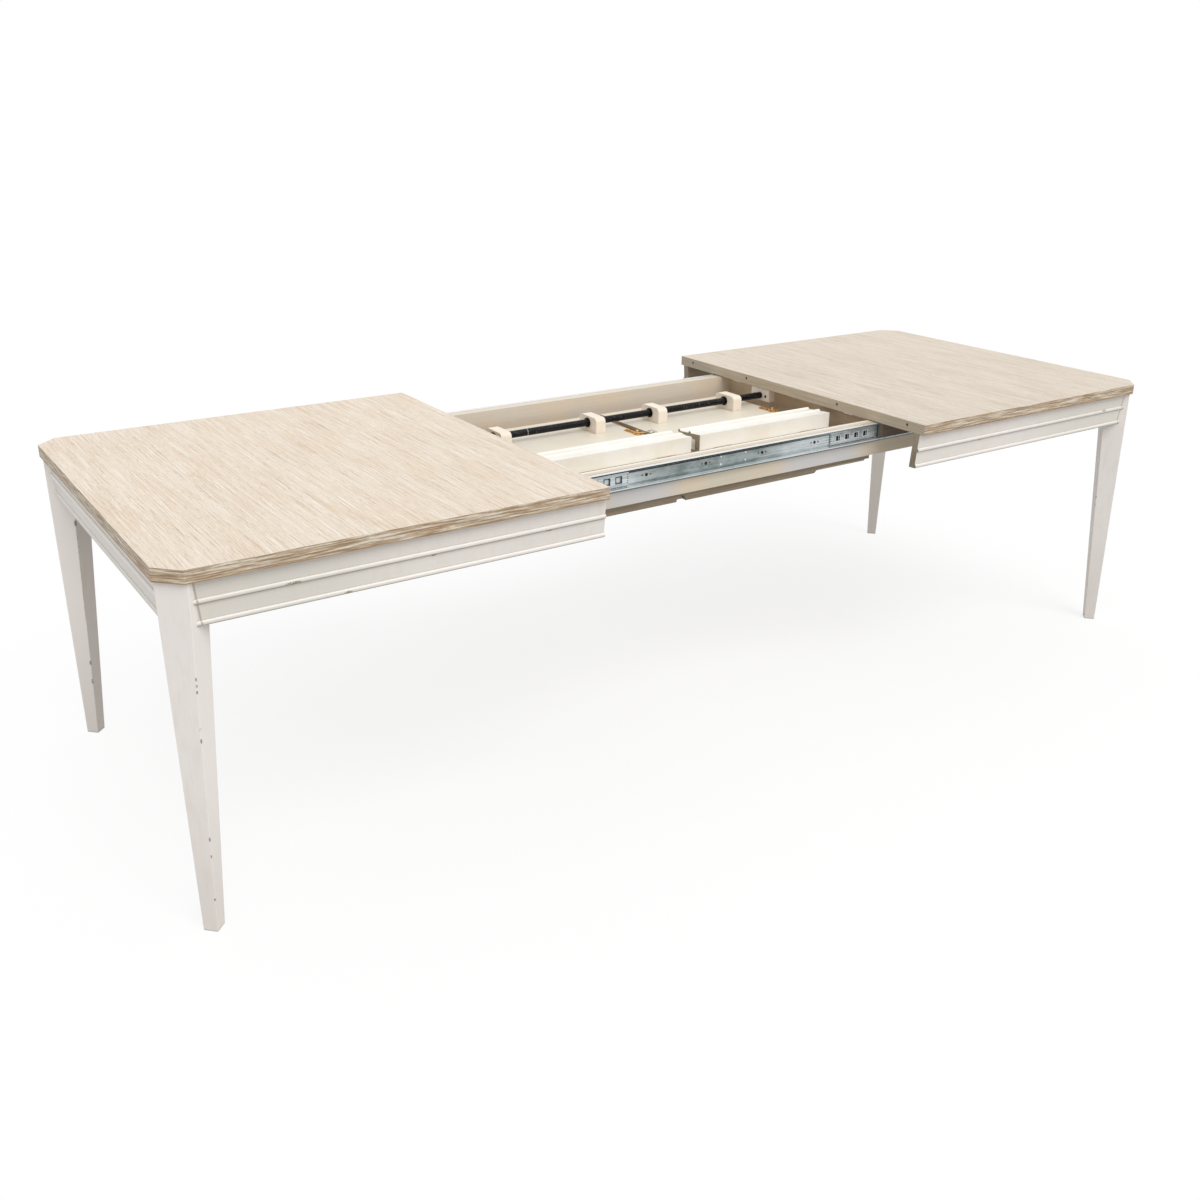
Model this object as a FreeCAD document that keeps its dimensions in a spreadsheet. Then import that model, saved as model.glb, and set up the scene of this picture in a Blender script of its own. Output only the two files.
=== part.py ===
import FreeCAD, Part
import math
import os
import re
import Sketcher

# Extending dining table with two folding leaves stored in a box under the gap.
# Millimetres. X runs along the table, Z is up, and the near side, from which the
# table is seen, is -Y. The origin is on the floor under the middle of the table.
# The halves stand pulled apart and both leaves lie folded in the box.

sizes = {
    # Tops
    "table_height": 762,
    "table_width": 1020,
    "half_length": 944,
    "gap_room": 61.6,
    "corner_clip": 45,
    "top_thickness": 28,
    "top_edge_round": 1.2,
    # Alignment pins and their holes
    "pin_radius": 4,
    "pin_play": 0.3,
    "pin_reach": 11,
    "pin_hole_depth": 14,
    "pin_drop": 12,
    "inner_pin_spot": 192,
    "outer_pin_inset": 60,
    # Aprons with two half-round beads
    "apron_height": 92,
    "apron_thickness": 18.5,
    "apron_setback": 13.5,
    "apron_cant": 8,
    "bead_height": 10.5,
    "bead_rise": 4.5,
    "bead_drop": 43,
    # Legs, turned to face the clipped corners
    "leg_top_width": 68,
    "leg_foot_width": 30,
    "leg_top_setback": 40,
    "leg_foot_setback": 33,
    "leg_edge_round": 1.5,
    # Corner blocks and the hanger bolts of the legs
    "corner_block_height": 60,
    "corner_block_drop": 6,
    "corner_block_depth": 44,
    "corner_block_gap": 0.3,
    "hanger_radius": 4,
    "hanger_bite": 30,
    "hanger_tail": 14,
    "washer_radius": 11,
    "washer_thickness": 2,
    "nut_radius": 7.5,
    "nut_height": 6.5,
    # Storage box
    "box_end_room": 48.3,
    "leaf_near_room": 65.3,
    "leaf_far_room": 39.3,
    "rail_overhang": 112,
    "rail_thickness": 32,
    "rail_height": 89,
    "rail_drop": 2,
    "cross_rail_thickness": 20,
    "strip_height": 25,
    "strip_thickness": 16,
    "strip_length": 986,
    "strip_step": 10,
    "strip_step_spot": 293,
    "notch_radius": 14.5,
    "notch_spot": 148,
    "ledge_flap_gap": 9.3,
    "ledge_thickness": 11.7,
    "ledge_gap": 0.3,
    # Ball bearing slides
    "slide_thickness": 12.7,
    "slide_height": 45,
    "slide_steel": 1.5,
    "slide_lip": 3.5,
    "runner_gap": 0.3,
    "runner_thickness": 12,
    "runner_height": 37,
    "runner_setback": 2,
    "runner_end_room": 302,
    "retainer_length": 300,
    "retainer_lead": 169,
    "retainer_steel": 0.8,
    "retainer_reach": 6,
    "retainer_play": 0.4,
    "window_length": 15,
    "window_height": 14,
    "window_pitch": 33,
    "window_lead": 28,
    "ball_radius": 2.5,
    "ball_play": 0.2,
    "ball_pitch": 22,
    "ball_lead": 14,
    # Screws
    "screw_radius": 2,
    "screw_head_radius": 4,
    "screw_head_height": 1.4,
    "screw_bite": 10,
    "screw_hole_pitch": 12,
    "inner_screw_spot": 90,
    "outer_screw_spot": 268,
    "end_screw_offset": 24,
    # Pivot rod of the leaves
    "rod_radius": 9.5,
    "rod_drop": 24,
    "rod_end_gap": 0.3,
    "end_block_thickness": 23,
    "end_block_width": 79,
    "end_block_height": 36,
    "end_block_drop": 3,
    # Folding leaves
    "leaf_width": 457.2,
    "leaf_gap": 25,
    "fold_gap": 0.3,
    "rod_block_width": 30,
    "rod_block_length": 82,
    "rod_block_height": 42,
    "rod_block_round": 12,
    "inner_block_inset": 91.5,
    "outer_block_inset": 96.7,
    "first_block_inset": 74.7,
    "bush_radius": 11.5,
    "bush_play": 0.05,
    "bush_flange_radius": 13,
    "bush_flange_thickness": 4,
    "bush_flange_gap": 0.3,
    "fold_hinge_width": 17,
    "fold_hinge_depth": 12,
    "fold_hinge_height": 13,
    "fold_pin_radius": 1.6,
    "fold_pin_play": 0.05,
    "inner_fold_inset": 99.5,
    "outer_fold_inset": 97.7,
    # Hinged aprons of the leaves
    "flap_gap": 0.3,
    "flap_inset": 56,
    "flap_end_gap": 1,
    "cleat_depth": 19,
    "hinge_length": 60,
    "hinge_plate": 1,
    "hinge_reach": 18,
    "hinge_barrel_radius": 2.5,
    "hinge_pin_radius": 1,
    "hinge_pin_play": 0.05,
    "hinge_play": 0.3,
    "hinge_spot": 150,
    # Brass catches and their keepers
    "catch_width": 20,
    "catch_length": 70,
    "catch_thickness": 1.5,
    "catch_spot": 55,
    "catch_edge_gap": 2,
    "lever_gap": 0.3,
    "lever_width": 9,
    "lever_length": 52,
    "lever_thickness": 2.2,
    "finger_reach": 15,
    "rivet_radius": 2.5,
    "rivet_play": 0.05,
    "rivet_head_radius": 4.5,
    "rivet_head_height": 1.5,
    "keeper_width": 18,
    "keeper_length": 30,
    "keeper_thickness": 1.5,
    "keeper_lip": 4,
}

# Places that follow from the sizes
places = {
    "underside": "table_height - top_thickness",
    "gap_edge": "leaf_width + gap_room / 2",
    "table_end": "gap_edge + half_length",
    "table_side": "table_width / 2",
    "outer_pin_spot": "table_side - outer_pin_inset",
    "pin_level": "table_height - pin_drop",
    "pin_hole_radius": "pin_radius + pin_play",
    "apron_back": "apron_setback + apron_thickness",
    "bead_radius": "(bead_height ^ 2 / 4 + bead_rise ^ 2) / (2 * bead_rise)",
    "side_apron_length": "half_length - corner_clip",
    "end_apron_length": "table_width - 2 * corner_clip",
    "leg_inner_setback": "leg_top_setback + leg_top_width",
    "corner_block_setback": "leg_inner_setback + corner_block_gap",
    "corner_block_limit": "apron_back + apron_cant + corner_block_gap",
    "corner_block_back": "corner_block_setback + corner_block_depth",
    "corner_block_foot": "underside - corner_block_drop - corner_block_height",
    "hanger_level": "corner_block_foot + corner_block_height / 2",
    "rail_top": "underside - rail_drop",
    "rail_foot": "rail_top - rail_height",
    "box_inner_width": "leaf_length + leaf_near_room + leaf_far_room",
    "box_inside": "box_inner_width / 2",
    "rail_outside": "box_inside + rail_thickness",
    "rail_bite": "screw_bite - slide_steel",
    "slide_level": "rail_top - slide_height / 2",
    "runner_face": "rail_outside + slide_thickness + runner_gap",
    "runner_start": "gap_edge + runner_setback",
    "runner_length": "half_length - runner_setback - runner_end_room",
    "channel_inside": "slide_height / 2 - slide_steel",
    "ball_row": "channel_inside - ball_play - ball_radius",
    "member_half": "ball_row - ball_radius - ball_play",
    "retainer_face": "slide_steel + screw_head_height + retainer_play",
    "member_lip": "retainer_face + retainer_steel + retainer_play",
    "retainer_start": "runner_start - retainer_lead",
    "retainer_half": "ball_row + retainer_steel / 2",
    "rod_level": "underside - rod_drop",
    "rod_spot": "fold_line / 2",
    "cross_rail_face": "leaf_gap / 2 + leaf_width + box_end_room",
    "rail_length": "2 * (cross_rail_face + cross_rail_thickness + rail_overhang)",
    "end_block_foot": "underside - end_block_drop - end_block_height",
    "leaf_underside": "2 * rod_level - underside",
    "fold_line": "box_inside - leaf_far_room",
    "fold_level": "leaf_underside - top_thickness",
    "lower_face": "fold_level - fold_gap",
    "lower_underside": "lower_face - top_thickness",
    "leaf_length": "table_side",
    "leaf_edge": "fold_line - leaf_length",
    "leaf_middle": "(leaf_gap + leaf_width) / 2",
    "inner_block_spot": "leaf_gap / 2 + inner_block_inset",
    "outer_block_spot": "leaf_gap / 2 + leaf_width - outer_block_inset",
    "first_block_spot": "leaf_gap / 2 + leaf_width - first_block_inset",
    "inner_fold_spot": "leaf_gap / 2 + inner_fold_inset",
    "outer_fold_spot": "leaf_gap / 2 + leaf_width - outer_fold_inset",
    "flap_face": "leaf_edge + flap_inset",
    "ledge_width": "box_inside + flap_face - ledge_flap_gap",
    "flap_axis_spot": "flap_face - flap_gap / 2",
    "barrel_recess": "hinge_barrel_radius + hinge_play",
    "knuckle": "hinge_length / 3",
    "bush_bore": "rod_radius + bush_play",
    "block_bore": "bush_radius + bush_play",
    "inner_pin_stored": "fold_line - inner_pin_spot",
    "outer_pin_stored": "fold_line - outer_pin_spot",
    "catch_top": "leaf_underside + catch_thickness",
    "lever_foot": "catch_top + lever_gap",
    "rivet_inset": "catch_edge_gap + catch_width / 2",
    "rivet_spot": "catch_spot + catch_length / 2 - catch_width / 2",
    "finger_spot": "rivet_spot - lever_length + lever_width / 2",
    "raised_finger_spot": "fold_line - finger_spot",
}

BALLS_PER_ROW = 6
WINDOWS = 4
NUT_SIDE_COUNT = 6
TOLERANCE = 1e-6
HALF_TURN = 180
QUARTER_TURN = 90
EIGHTH_TURN = 45
SIDES = (("near", -1), ("far", 1))
ENDS = (("left", -1), ("right", 1))
UP = FreeCAD.Vector(0, 0, 1)
ALONG = FreeCAD.Vector(1, 0, 0)
ACROSS = FreeCAD.Vector(0, 1, 0)
# Turns that lay an upright cylinder along each axis
LAID = {
    "x": FreeCAD.Rotation(ACROSS, QUARTER_TURN),
    "y": FreeCAD.Rotation(ALONG, -QUARTER_TURN),
    "z": FreeCAD.Rotation(UP, 0),
}

doc = FreeCAD.newDocument("dining_table")
sheet = doc.addObject("Spreadsheet::Sheet", "Sizes")
for row, (alias, value) in enumerate(sizes.items(), start=1):
    sheet.set(f"A{row}", alias)
    sheet.set(f"B{row}", str(value))
    sheet.setAlias(f"B{row}", alias)
doc.recompute()

nodes = []


# Formulas and placing
def bound(text):
    """A formula with its places opened up and its sizes read from the sheet."""

    def open_word(match):
        word = match.group(0)
        if word in places:
            return "(" + bound(places[word]) + ")"
        if word in sizes:
            return "Sizes." + word
        return word

    return re.sub(r"[a-z_]+", open_word, str(text))


def number(text):
    """The present value of a formula."""
    return float(sheet.evalExpression(bound(text)))


def place(item, spot, rotation=LAID["z"]):
    """Put an object at a spot given as three formulas."""
    item.Placement = FreeCAD.Placement(FreeCAD.Vector(), rotation)
    for letter, text in zip("xyz", spot):
        item.setExpression("Placement.Base." + letter, bound(text))
    return item


def node(name, item):
    """Make an object one of the table's pieces."""
    item.Label = name
    nodes.append(item)
    return item


# Plain solids and booleans
def block(name, middle, foot, size):
    """A box from its middle in plan, its lowest level and its three sizes."""
    box = doc.addObject("Part::Box", name)
    for side, text in zip(("Length", "Width", "Height"), size):
        box.setExpression(side, bound(text))
    low_x = f"{middle[0]} - ({size[0]}) / 2"
    low_y = f"{middle[1]} - ({size[1]}) / 2"
    return place(box, (low_x, low_y, foot))


def rod(name, start, radius, length, along="z"):
    """A cylinder that runs from its start along one axis."""
    cylinder = doc.addObject("Part::Cylinder", name)
    cylinder.setExpression("Radius", bound(radius))
    cylinder.setExpression("Height", bound(length))
    return place(cylinder, start, LAID[along])


def fused(name, shapes):
    fusion = doc.addObject("Part::MultiFuse", name)
    fusion.Shapes = shapes
    fusion.Refine = True
    return fusion


def grouped(name, shapes):
    group = doc.addObject("Part::Compound", name)
    group.Links = shapes
    return group


def cut(name, base, tools):
    """Take one or several tools out of a base."""
    result = doc.addObject("Part::Cut", name)
    result.Base = base
    result.Tool = tools[0] if len(tools) == 1 else grouped(name + "_tools", tools)
    return result


# Bodies from sketches
def origin_plane(body, role):
    return next(item for item in body.Origin.OriginFeatures if item.Role == role)


def edge_between(start, end, corner):
    """One edge of an outline, straight or an arc, as drawn from start to end."""
    across, up, *arc = corner
    if not arc:
        return Part.LineSegment(start, end), False
    radius_text, turn = arc
    radius = number(radius_text)
    chord = end - start
    reach = math.sqrt(radius**2 - chord.Length**2 / 4)
    aside = FreeCAD.Vector(-chord.y, chord.x, 0).normalize()
    centre = (start + end) / 2 + aside * reach * turn
    first, last = (start, end) if turn > 0 else (end, start)
    opening = math.atan2(first.y - centre.y, first.x - centre.x)
    closing = math.atan2(last.y - centre.y, last.x - centre.x)
    if closing < opening:
        closing += 2 * math.pi
    circle = Part.Circle(centre, UP, radius)
    return Part.ArcOfCircle(circle, opening, closing), turn < 0


def draw(sketch, outline):
    """Draw a closed outline whose corners are pairs of formulas, each bound to the sheet.

    A corner with two more entries is reached by an arc: its radius, and which way it turns.
    """
    spots = [FreeCAD.Vector(number(corner[0]), number(corner[1]), 0) for corner in outline]
    flipped = []
    for index, corner in enumerate(outline):
        edge, swapped = edge_between(spots[index - 1], spots[index], corner)
        sketch.addGeometry(edge, False)
        flipped.append(swapped)
    for index, corner in enumerate(outline):
        end = 1 if flipped[index] else 2
        following = (index + 1) % len(outline)
        start = 2 if flipped[following] else 1
        sketch.addConstraint(Sketcher.Constraint("Coincident", index, end, following, start))
        across, up, *arc = corner
        for kind, text, value in (("DistanceX", across, spots[index].x), ("DistanceY", up, spots[index].y)):
            name = sketch.addConstraint(Sketcher.Constraint(kind, -1, 1, index, end, value))
            sketch.setExpression(f"Constraints[{name}]", bound(text))
        if arc:
            radius_text = arc[0]
            name = sketch.addConstraint(Sketcher.Constraint("Radius", index, number(radius_text)))
            sketch.setExpression(f"Constraints[{name}]", bound(radius_text))


def sketch_on(body, name, role, outline, lift="0"):
    sketch = body.newObject("Sketcher::SketchObject", name)
    sketch.AttachmentSupport = (origin_plane(body, role), [""])
    sketch.MapMode = "FlatFace"
    sketch.setExpression("AttachmentOffset.Base.z", bound(lift))
    draw(sketch, outline)
    return sketch


def padded(name, role, outline, length):
    """A body with one sketch on one of its origin planes, padded to a length."""
    body = doc.addObject("PartDesign::Body", name)
    sketch = sketch_on(body, name + "_outline", role, outline)
    pad = body.newObject("PartDesign::Pad", name + "_pad")
    pad.Profile = sketch
    pad.setExpression("Length", bound(length))
    sketch.Visibility = False
    doc.recompute()
    return body


def rounded(body, radius, wanted):
    """Round the edges of a body that the test called wanted picks out."""
    tip = body.Tip
    names = [f"Edge{index}" for index, edge in enumerate(tip.Shape.Edges, start=1) if wanted(edge)]
    fillet = body.newObject("PartDesign::Fillet", body.Name + "_round")
    fillet.Base = (tip, names)
    fillet.setExpression("Radius", bound(radius))
    doc.recompute()
    return body


def rectangle(low_x, high_x, low_y, high_y):
    return [(low_x, low_y), (high_x, low_y), (high_x, high_y), (low_x, high_y)]


def soft_rectangle(low_x, high_x, low_y, high_y, radius):
    """A rectangle with its four corners rounded."""
    return [
        (f"{low_x} + {radius}", low_y, radius, 1),
        (f"{high_x} - {radius}", low_y),
        (high_x, f"{low_y} + {radius}", radius, 1),
        (high_x, f"{high_y} - {radius}"),
        (f"{high_x} - {radius}", high_y, radius, 1),
        (f"{low_x} + {radius}", high_y),
        (low_x, f"{high_y} - {radius}", radius, 1),
        (low_x, f"{low_y} + {radius}"),
    ]


def screw(name, start, along, way, length="screw_bite"):
    """A pan-head screw: start is under the head, and way is the sign of its shank's run."""
    index = "xyz".index(along)
    back = list(start)
    if way < 0:
        back[index] = f"{start[index]} - ({length})"
    shank = rod(name + "_shank", back, "screw_radius", length, along)
    cap = list(start)
    if way > 0:
        cap[index] = f"{start[index]} - screw_head_height"
    head = rod(name + "_head", cap, "screw_head_radius", "screw_head_height", along)
    return fused(name, [shank, head])


# Tops: a veneered panel with clipped outer corners, drilled for pins along its gap edge
def top_panel(name, sign, hole_radius):
    outline = [
        ("0", "-table_side"),
        ("half_length - corner_clip", "-table_side"),
        ("half_length", "corner_clip - table_side"),
        ("half_length", "table_side - corner_clip"),
        ("half_length - corner_clip", "table_side"),
        ("0", "table_side"),
    ]
    body = padded(name + "_panel", "XY_Plane", outline, "top_thickness")
    upper = number("top_thickness")
    rounded(body, "top_edge_round", lambda edge: edge.BoundBox.ZMin > upper - TOLERANCE)
    holes = []
    for side in (-1, 1):
        for spot in ("inner_pin_spot", "outer_pin_spot"):
            start = ("0", f"{side} * {spot}", "top_thickness - pin_drop")
            holes.append(rod(f"{name}_hole", start, hole_radius, "pin_hole_depth", "x"))
    top = node(name, cut(name, body, holes))
    turn = FreeCAD.Rotation(UP, 0 if sign > 0 else HALF_TURN)
    return place(top, (f"{sign} * gap_edge", "0", "underside"), turn)


# Aprons: a canted board with a bead at mid height and one along its foot
def apron_outline(spot, turn, backing):
    """The apron's section. spot turns (inward from the edge, drop below the top) into a corner."""

    def face(drop):
        return f"(apron_setback + apron_cant * ({drop}) / apron_height)"

    foot_bead = "apron_height - bead_height"
    upper_start = "bead_drop - bead_height / 2"
    upper_end = "bead_drop + bead_height / 2"
    outline = [spot(inward, drop) for inward, drop in backing]
    outline.append(spot(face("0"), "0"))
    outline.append(spot(face(upper_start), upper_start))
    outline.append((*spot(face(upper_end), upper_end), "bead_radius", turn))
    outline.append(spot(face(foot_bead), foot_bead))
    outline.append((*spot(face("apron_height"), "apron_height"), "bead_radius", turn))
    return outline


def table_apron(name, spot, angle, length, legs):
    """A straight apron, scribed to the legs that it meets."""
    backing = [
        ("apron_back + apron_cant", "apron_height"),
        ("apron_back", "0"),
    ]
    outline = apron_outline(lambda inward, drop: (inward, f"underside - ({drop})"), 1, backing)
    body = padded(name + "_board", "YZ_Plane", outline, length)
    place(body, spot, FreeCAD.Rotation(UP, angle))
    return node(name, cut(name, body, legs))


# Legs: a square tapered post turned an eighth of a turn, its outer face under the clipped
# corner, bored from behind for the hanger bolt
CORNER_TURN = {(-1, -1): 45, (1, -1): 135, (1, 1): 225, (-1, 1): 315}


def at_corner(item, end, side, level="0"):
    """Place a piece drawn from the table's corner, its X pointing diagonally inward."""
    spot = (f"{end} * table_end", f"{side} * table_side", level)
    return place(item, spot, FreeCAD.Rotation(UP, CORNER_TURN[end, side]))


def leg(name, end, side):
    body = doc.addObject("PartDesign::Body", name + "_post")

    def square(setback, width):
        half = f"{width} / 2"
        return soft_rectangle(setback, f"{setback} + {width}", f"-{half}", half, "leg_edge_round")

    foot = sketch_on(body, name + "_foot", "XY_Plane", square("leg_foot_setback", "leg_foot_width"))
    head_outline = square("leg_top_setback", "leg_top_width")
    head = sketch_on(body, name + "_head", "XY_Plane", head_outline, "underside")
    loft = body.newObject("PartDesign::AdditiveLoft", name + "_taper")
    loft.Profile = foot
    loft.Sections = [head]
    loft.Ruled = True
    foot.Visibility = False
    head.Visibility = False
    doc.recompute()
    bore_start = ("leg_inner_setback - hanger_bite", "0", "hanger_level")
    bore_length = "hanger_bite + leg_top_width"
    bore = rod(name + "_bore", bore_start, "hanger_radius", bore_length, "x")
    return at_corner(node(name, cut(name, body, [bore])), end, side)


def corner_block(name, end, side):
    """A triangular block behind the leg, between the two aprons, bored for the bolt."""
    near_sum = "corner_block_setback * sqrt(2) - corner_block_limit"
    far_sum = "corner_block_back * sqrt(2) - corner_block_limit"
    outline = [
        ("corner_block_limit", near_sum),
        (near_sum, "corner_block_limit"),
        (far_sum, "corner_block_limit"),
        ("corner_block_limit", far_sum),
    ]
    body = padded(name + "_wedge", "XY_Plane", outline, "corner_block_height")
    start = ("corner_block_setback - corner_block_depth", "0", "corner_block_height / 2")
    bore = rod(name + "_bore", start, "hanger_radius", "3 * corner_block_depth", "x")
    turned = grouped(name + "_turned_bore", [bore])
    turned.Placement = FreeCAD.Placement(FreeCAD.Vector(), FreeCAD.Rotation(UP, EIGHTH_TURN))
    result = cut(name, body, [turned])
    spot = (f"{end} * table_end", f"{side} * table_side", "corner_block_foot")
    return place(result, spot, FreeCAD.Rotation(UP, CORNER_TURN[end, side] - EIGHTH_TURN))


def hanger_bolt(name, end, side):
    """A hanger bolt through the corner block into the leg, with its washer and nut."""
    start = ("leg_inner_setback - hanger_bite", "0", "0")
    length = "corner_block_back + hanger_tail - leg_inner_setback + hanger_bite"
    shank = rod(name + "_shank", start, "hanger_radius", length, "x")
    washer_start = ("corner_block_back", "0", "0")
    washer = rod(name + "_washer", washer_start, "washer_radius", "washer_thickness", "x")
    nut = doc.addObject("Part::Prism", name + "_nut")
    nut.Polygon = NUT_SIDE_COUNT
    nut.setExpression("Circumradius", bound("nut_radius"))
    nut.setExpression("Height", bound("nut_height"))
    place(nut, ("corner_block_back + washer_thickness", "0", "0"), LAID["x"])
    return at_corner(fused(name, [shank, washer, nut]), end, side, "hanger_level")


# Slides: each half rides on a member inside a ball retainer inside the box's channel
SCREW_SPOTS = ("-outer_screw_spot", "-inner_screw_spot", "inner_screw_spot", "outer_screw_spot")
MEMBER_SCREW_SHARES = (0.3, 0.6, 0.9)


def channel_outline():
    """The fixed channel's section: (out from the rail, height from its middle)."""
    half = "slide_height / 2"
    return [
        ("0", f"-{half}"),
        ("slide_thickness", f"-{half}"),
        ("slide_thickness", f"slide_lip - {half}"),
        ("slide_thickness - slide_steel", f"slide_lip - {half}"),
        ("slide_thickness - slide_steel", "-channel_inside"),
        ("slide_steel", "-channel_inside"),
        ("slide_steel", "channel_inside"),
        ("slide_thickness - slide_steel", "channel_inside"),
        ("slide_thickness - slide_steel", f"{half} - slide_lip"),
        ("slide_thickness", f"{half} - slide_lip"),
        ("slide_thickness", half),
        ("0", half),
    ]


def member_outline():
    """The moving member's section, open towards the rail."""
    inside = "(member_half - slide_steel)"
    return [
        ("member_lip", "-member_half"),
        ("slide_thickness", "-member_half"),
        ("slide_thickness", "member_half"),
        ("member_lip", "member_half"),
        ("member_lip", inside),
        ("slide_thickness - slide_steel", inside),
        ("slide_thickness - slide_steel", f"-{inside}"),
        ("member_lip", f"-{inside}"),
    ]


def retainer_outline():
    """The ball retainer's section, a thin U round the member."""
    inside = "(retainer_half - retainer_steel)"
    tip = "retainer_face + retainer_reach"
    return [
        ("retainer_face", "-retainer_half"),
        (tip, "-retainer_half"),
        (tip, f"-{inside}"),
        ("retainer_face + retainer_steel", f"-{inside}"),
        ("retainer_face + retainer_steel", inside),
        (tip, inside),
        (tip, "retainer_half"),
        ("retainer_face", "retainer_half"),
    ]


def beside_rail(item, side, start, length):
    """Place a slide piece drawn along +X and out along +Y against one rail's outside."""
    turn = FreeCAD.Rotation(UP, 0 if side > 0 else HALF_TURN)
    begin = start if side > 0 else f"{start} + {length}"
    return place(item, (begin, f"{side} * rail_outside", "slide_level"), turn)


def channel(name, side):
    body = padded(name + "_strip", "YZ_Plane", channel_outline(), "rail_length")
    holes = []
    for spot in SCREW_SPOTS:
        for step in (-1, 0, 1):
            middle = f"rail_length / 2 + {spot} + {step} * screw_hole_pitch"
            start = (middle, "0", "0")
            holes.append(rod(name + "_hole", start, "screw_radius", "slide_steel", "y"))
    result = node(name, cut(name, body, holes))
    return beside_rail(result, side, "-rail_length / 2", "rail_length")


def member_screw_spots(end):
    """Where the screws of a half's slide members and runners sit, from the gap outward."""
    return [f"{end} * (runner_start + runner_length * {share})" for share in MEMBER_SCREW_SHARES]


def slide_member(name, end, side):
    start = "runner_start" if end > 0 else "-runner_start - runner_length"
    body = padded(name + "_strip", "YZ_Plane", member_outline(), "runner_length")
    beside_rail(body, side, start, "runner_length")
    holes = []
    for spot in member_screw_spots(end):
        low = f"{side} * (rail_outside + slide_thickness) - slide_steel * 1.5"
        holes.append(rod(name + "_hole", (spot, low, "slide_level"), "screw_radius", "slide_steel * 3", "y"))
    return cut(name, body, holes)


def retainer(name, end, side):
    """A retainer with windows at its inner end and round holes for its balls."""
    body = padded(name + "_strip", "YZ_Plane", retainer_outline(), "retainer_length")
    start = "retainer_start" if end > 0 else "-retainer_start - retainer_length"
    beside_rail(body, side, start, "retainer_length")
    middle_out = "(rail_outside + retainer_face)"
    tools = []
    for index in range(WINDOWS):
        spot = f"{end} * (retainer_start + window_lead + {index} * window_pitch)"
        size = ("window_length", "retainer_reach", "window_height")
        foot = "slide_level - window_height / 2"
        tools.append(block(name + "_window", (spot, f"{side} * {middle_out}"), foot, size))
    for spot in ball_spots(end):
        centre = (spot, f"{side} * (rail_outside + slide_thickness / 2)", "slide_level - slide_height / 2")
        tools.append(rod(name + "_ball_hole", centre, "ball_radius + ball_play", "slide_height"))
    return cut(name, body, tools)


def ball_spots(end):
    last = "(retainer_start + retainer_length - ball_lead)"
    return [f"{end} * ({last} - {index} * ball_pitch)" for index in range(BALLS_PER_ROW)]


def slide_balls(name, end):
    balls = []
    for side in (-1, 1):
        for row in (-1, 1):
            for spot in ball_spots(end):
                ball = doc.addObject("Part::Sphere", name + "_ball")
                ball.setExpression("Radius", bound("ball_radius"))
                out = f"{side} * (rail_outside + slide_thickness / 2)"
                balls.append(place(ball, (spot, out, f"slide_level + {row} * ball_row")))
    return node(name, grouped(name, balls))


def runner(name, end, side):
    """The board under a top that a slide member is screwed to."""
    middle_out = f"{side} * (runner_face + runner_thickness / 2)"
    middle = (f"{end} * (runner_start + runner_length / 2)", middle_out)
    size = ("runner_length", "runner_thickness", "runner_height")
    board = block(name + "_board", middle, "underside - runner_height", size)
    holes = []
    for spot in member_screw_spots(end):
        low = f"{middle_out} - runner_thickness"
        start = (spot, low, "slide_level")
        holes.append(rod(name + "_hole", start, "screw_radius", "2 * runner_thickness", "y"))
    return cut(name, board, holes)


# One half: top, aprons, legs, corner blocks, runners, slide members and fixings
def build_half(hand, end):
    hole_radius = "pin_hole_radius" if end > 0 else "pin_radius"
    top_panel(hand + "_top", end, hole_radius)
    legs = {side: leg(f"{hand}_leg_{word}", end, side) for word, side in SIDES}
    for word, side in SIDES:
        angle = 0 if side < 0 else HALF_TURN
        low = "gap_edge" if end > 0 else "-gap_edge - side_apron_length"
        start = low if side < 0 else f"{low} + side_apron_length"
        spot = (start, f"{side} * table_side", "0")
        table_apron(f"{hand}_apron_{word}", spot, angle, "side_apron_length", [legs[side]])
    spot = (f"{end} * table_end", f"-{end} * end_apron_length / 2", "0")
    table_apron(hand + "_apron_end", spot, end * QUARTER_TURN, "end_apron_length", list(legs.values()))
    blocks = [corner_block(f"{hand}_corner_block_{word}", end, side) for word, side in SIDES]
    node(hand + "_corner_blocks", grouped(hand + "_corner_blocks", blocks))
    runners = [runner(f"{hand}_runner_{word}", end, side) for word, side in SIDES]
    node(hand + "_runners", grouped(hand + "_runners", runners))
    members = [slide_member(f"{hand}_member_{word}", end, side) for word, side in SIDES]
    node(hand + "_slide_members", grouped(hand + "_slide_members", members))
    node(hand + "_fixings", grouped(hand + "_fixings", half_fixings(hand, end)))
    retainers = [retainer(f"{hand}_retainer_{word}", end, side) for word, side in SIDES]
    node(hand + "_ball_retainers", grouped(hand + "_ball_retainers", retainers))
    slide_balls(hand + "_slide_balls", end)


def keeper(name, edge, spot, surface, way):
    """A keeper for a catch's finger: a plate by a panel's left edge, and its lip.

    way is 1 where it stands up from the face that it is screwed to and -1 where it hangs down.
    """
    plate_foot = surface if way > 0 else f"{surface} - keeper_thickness"
    plate_size = ("keeper_width", "keeper_length", "keeper_thickness")
    plate = block(name + "_plate", (f"{edge} + keeper_width / 2", spot), plate_foot, plate_size)
    lip_foot = surface if way > 0 else f"{surface} - keeper_lip"
    lip_middle = (f"{edge} + keeper_width - keeper_thickness / 2", spot)
    lip_size = ("keeper_thickness", "keeper_length", "keeper_lip")
    lip = block(name + "_lip", lip_middle, lip_foot, lip_size)
    return fused(name, [plate, lip])


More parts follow.
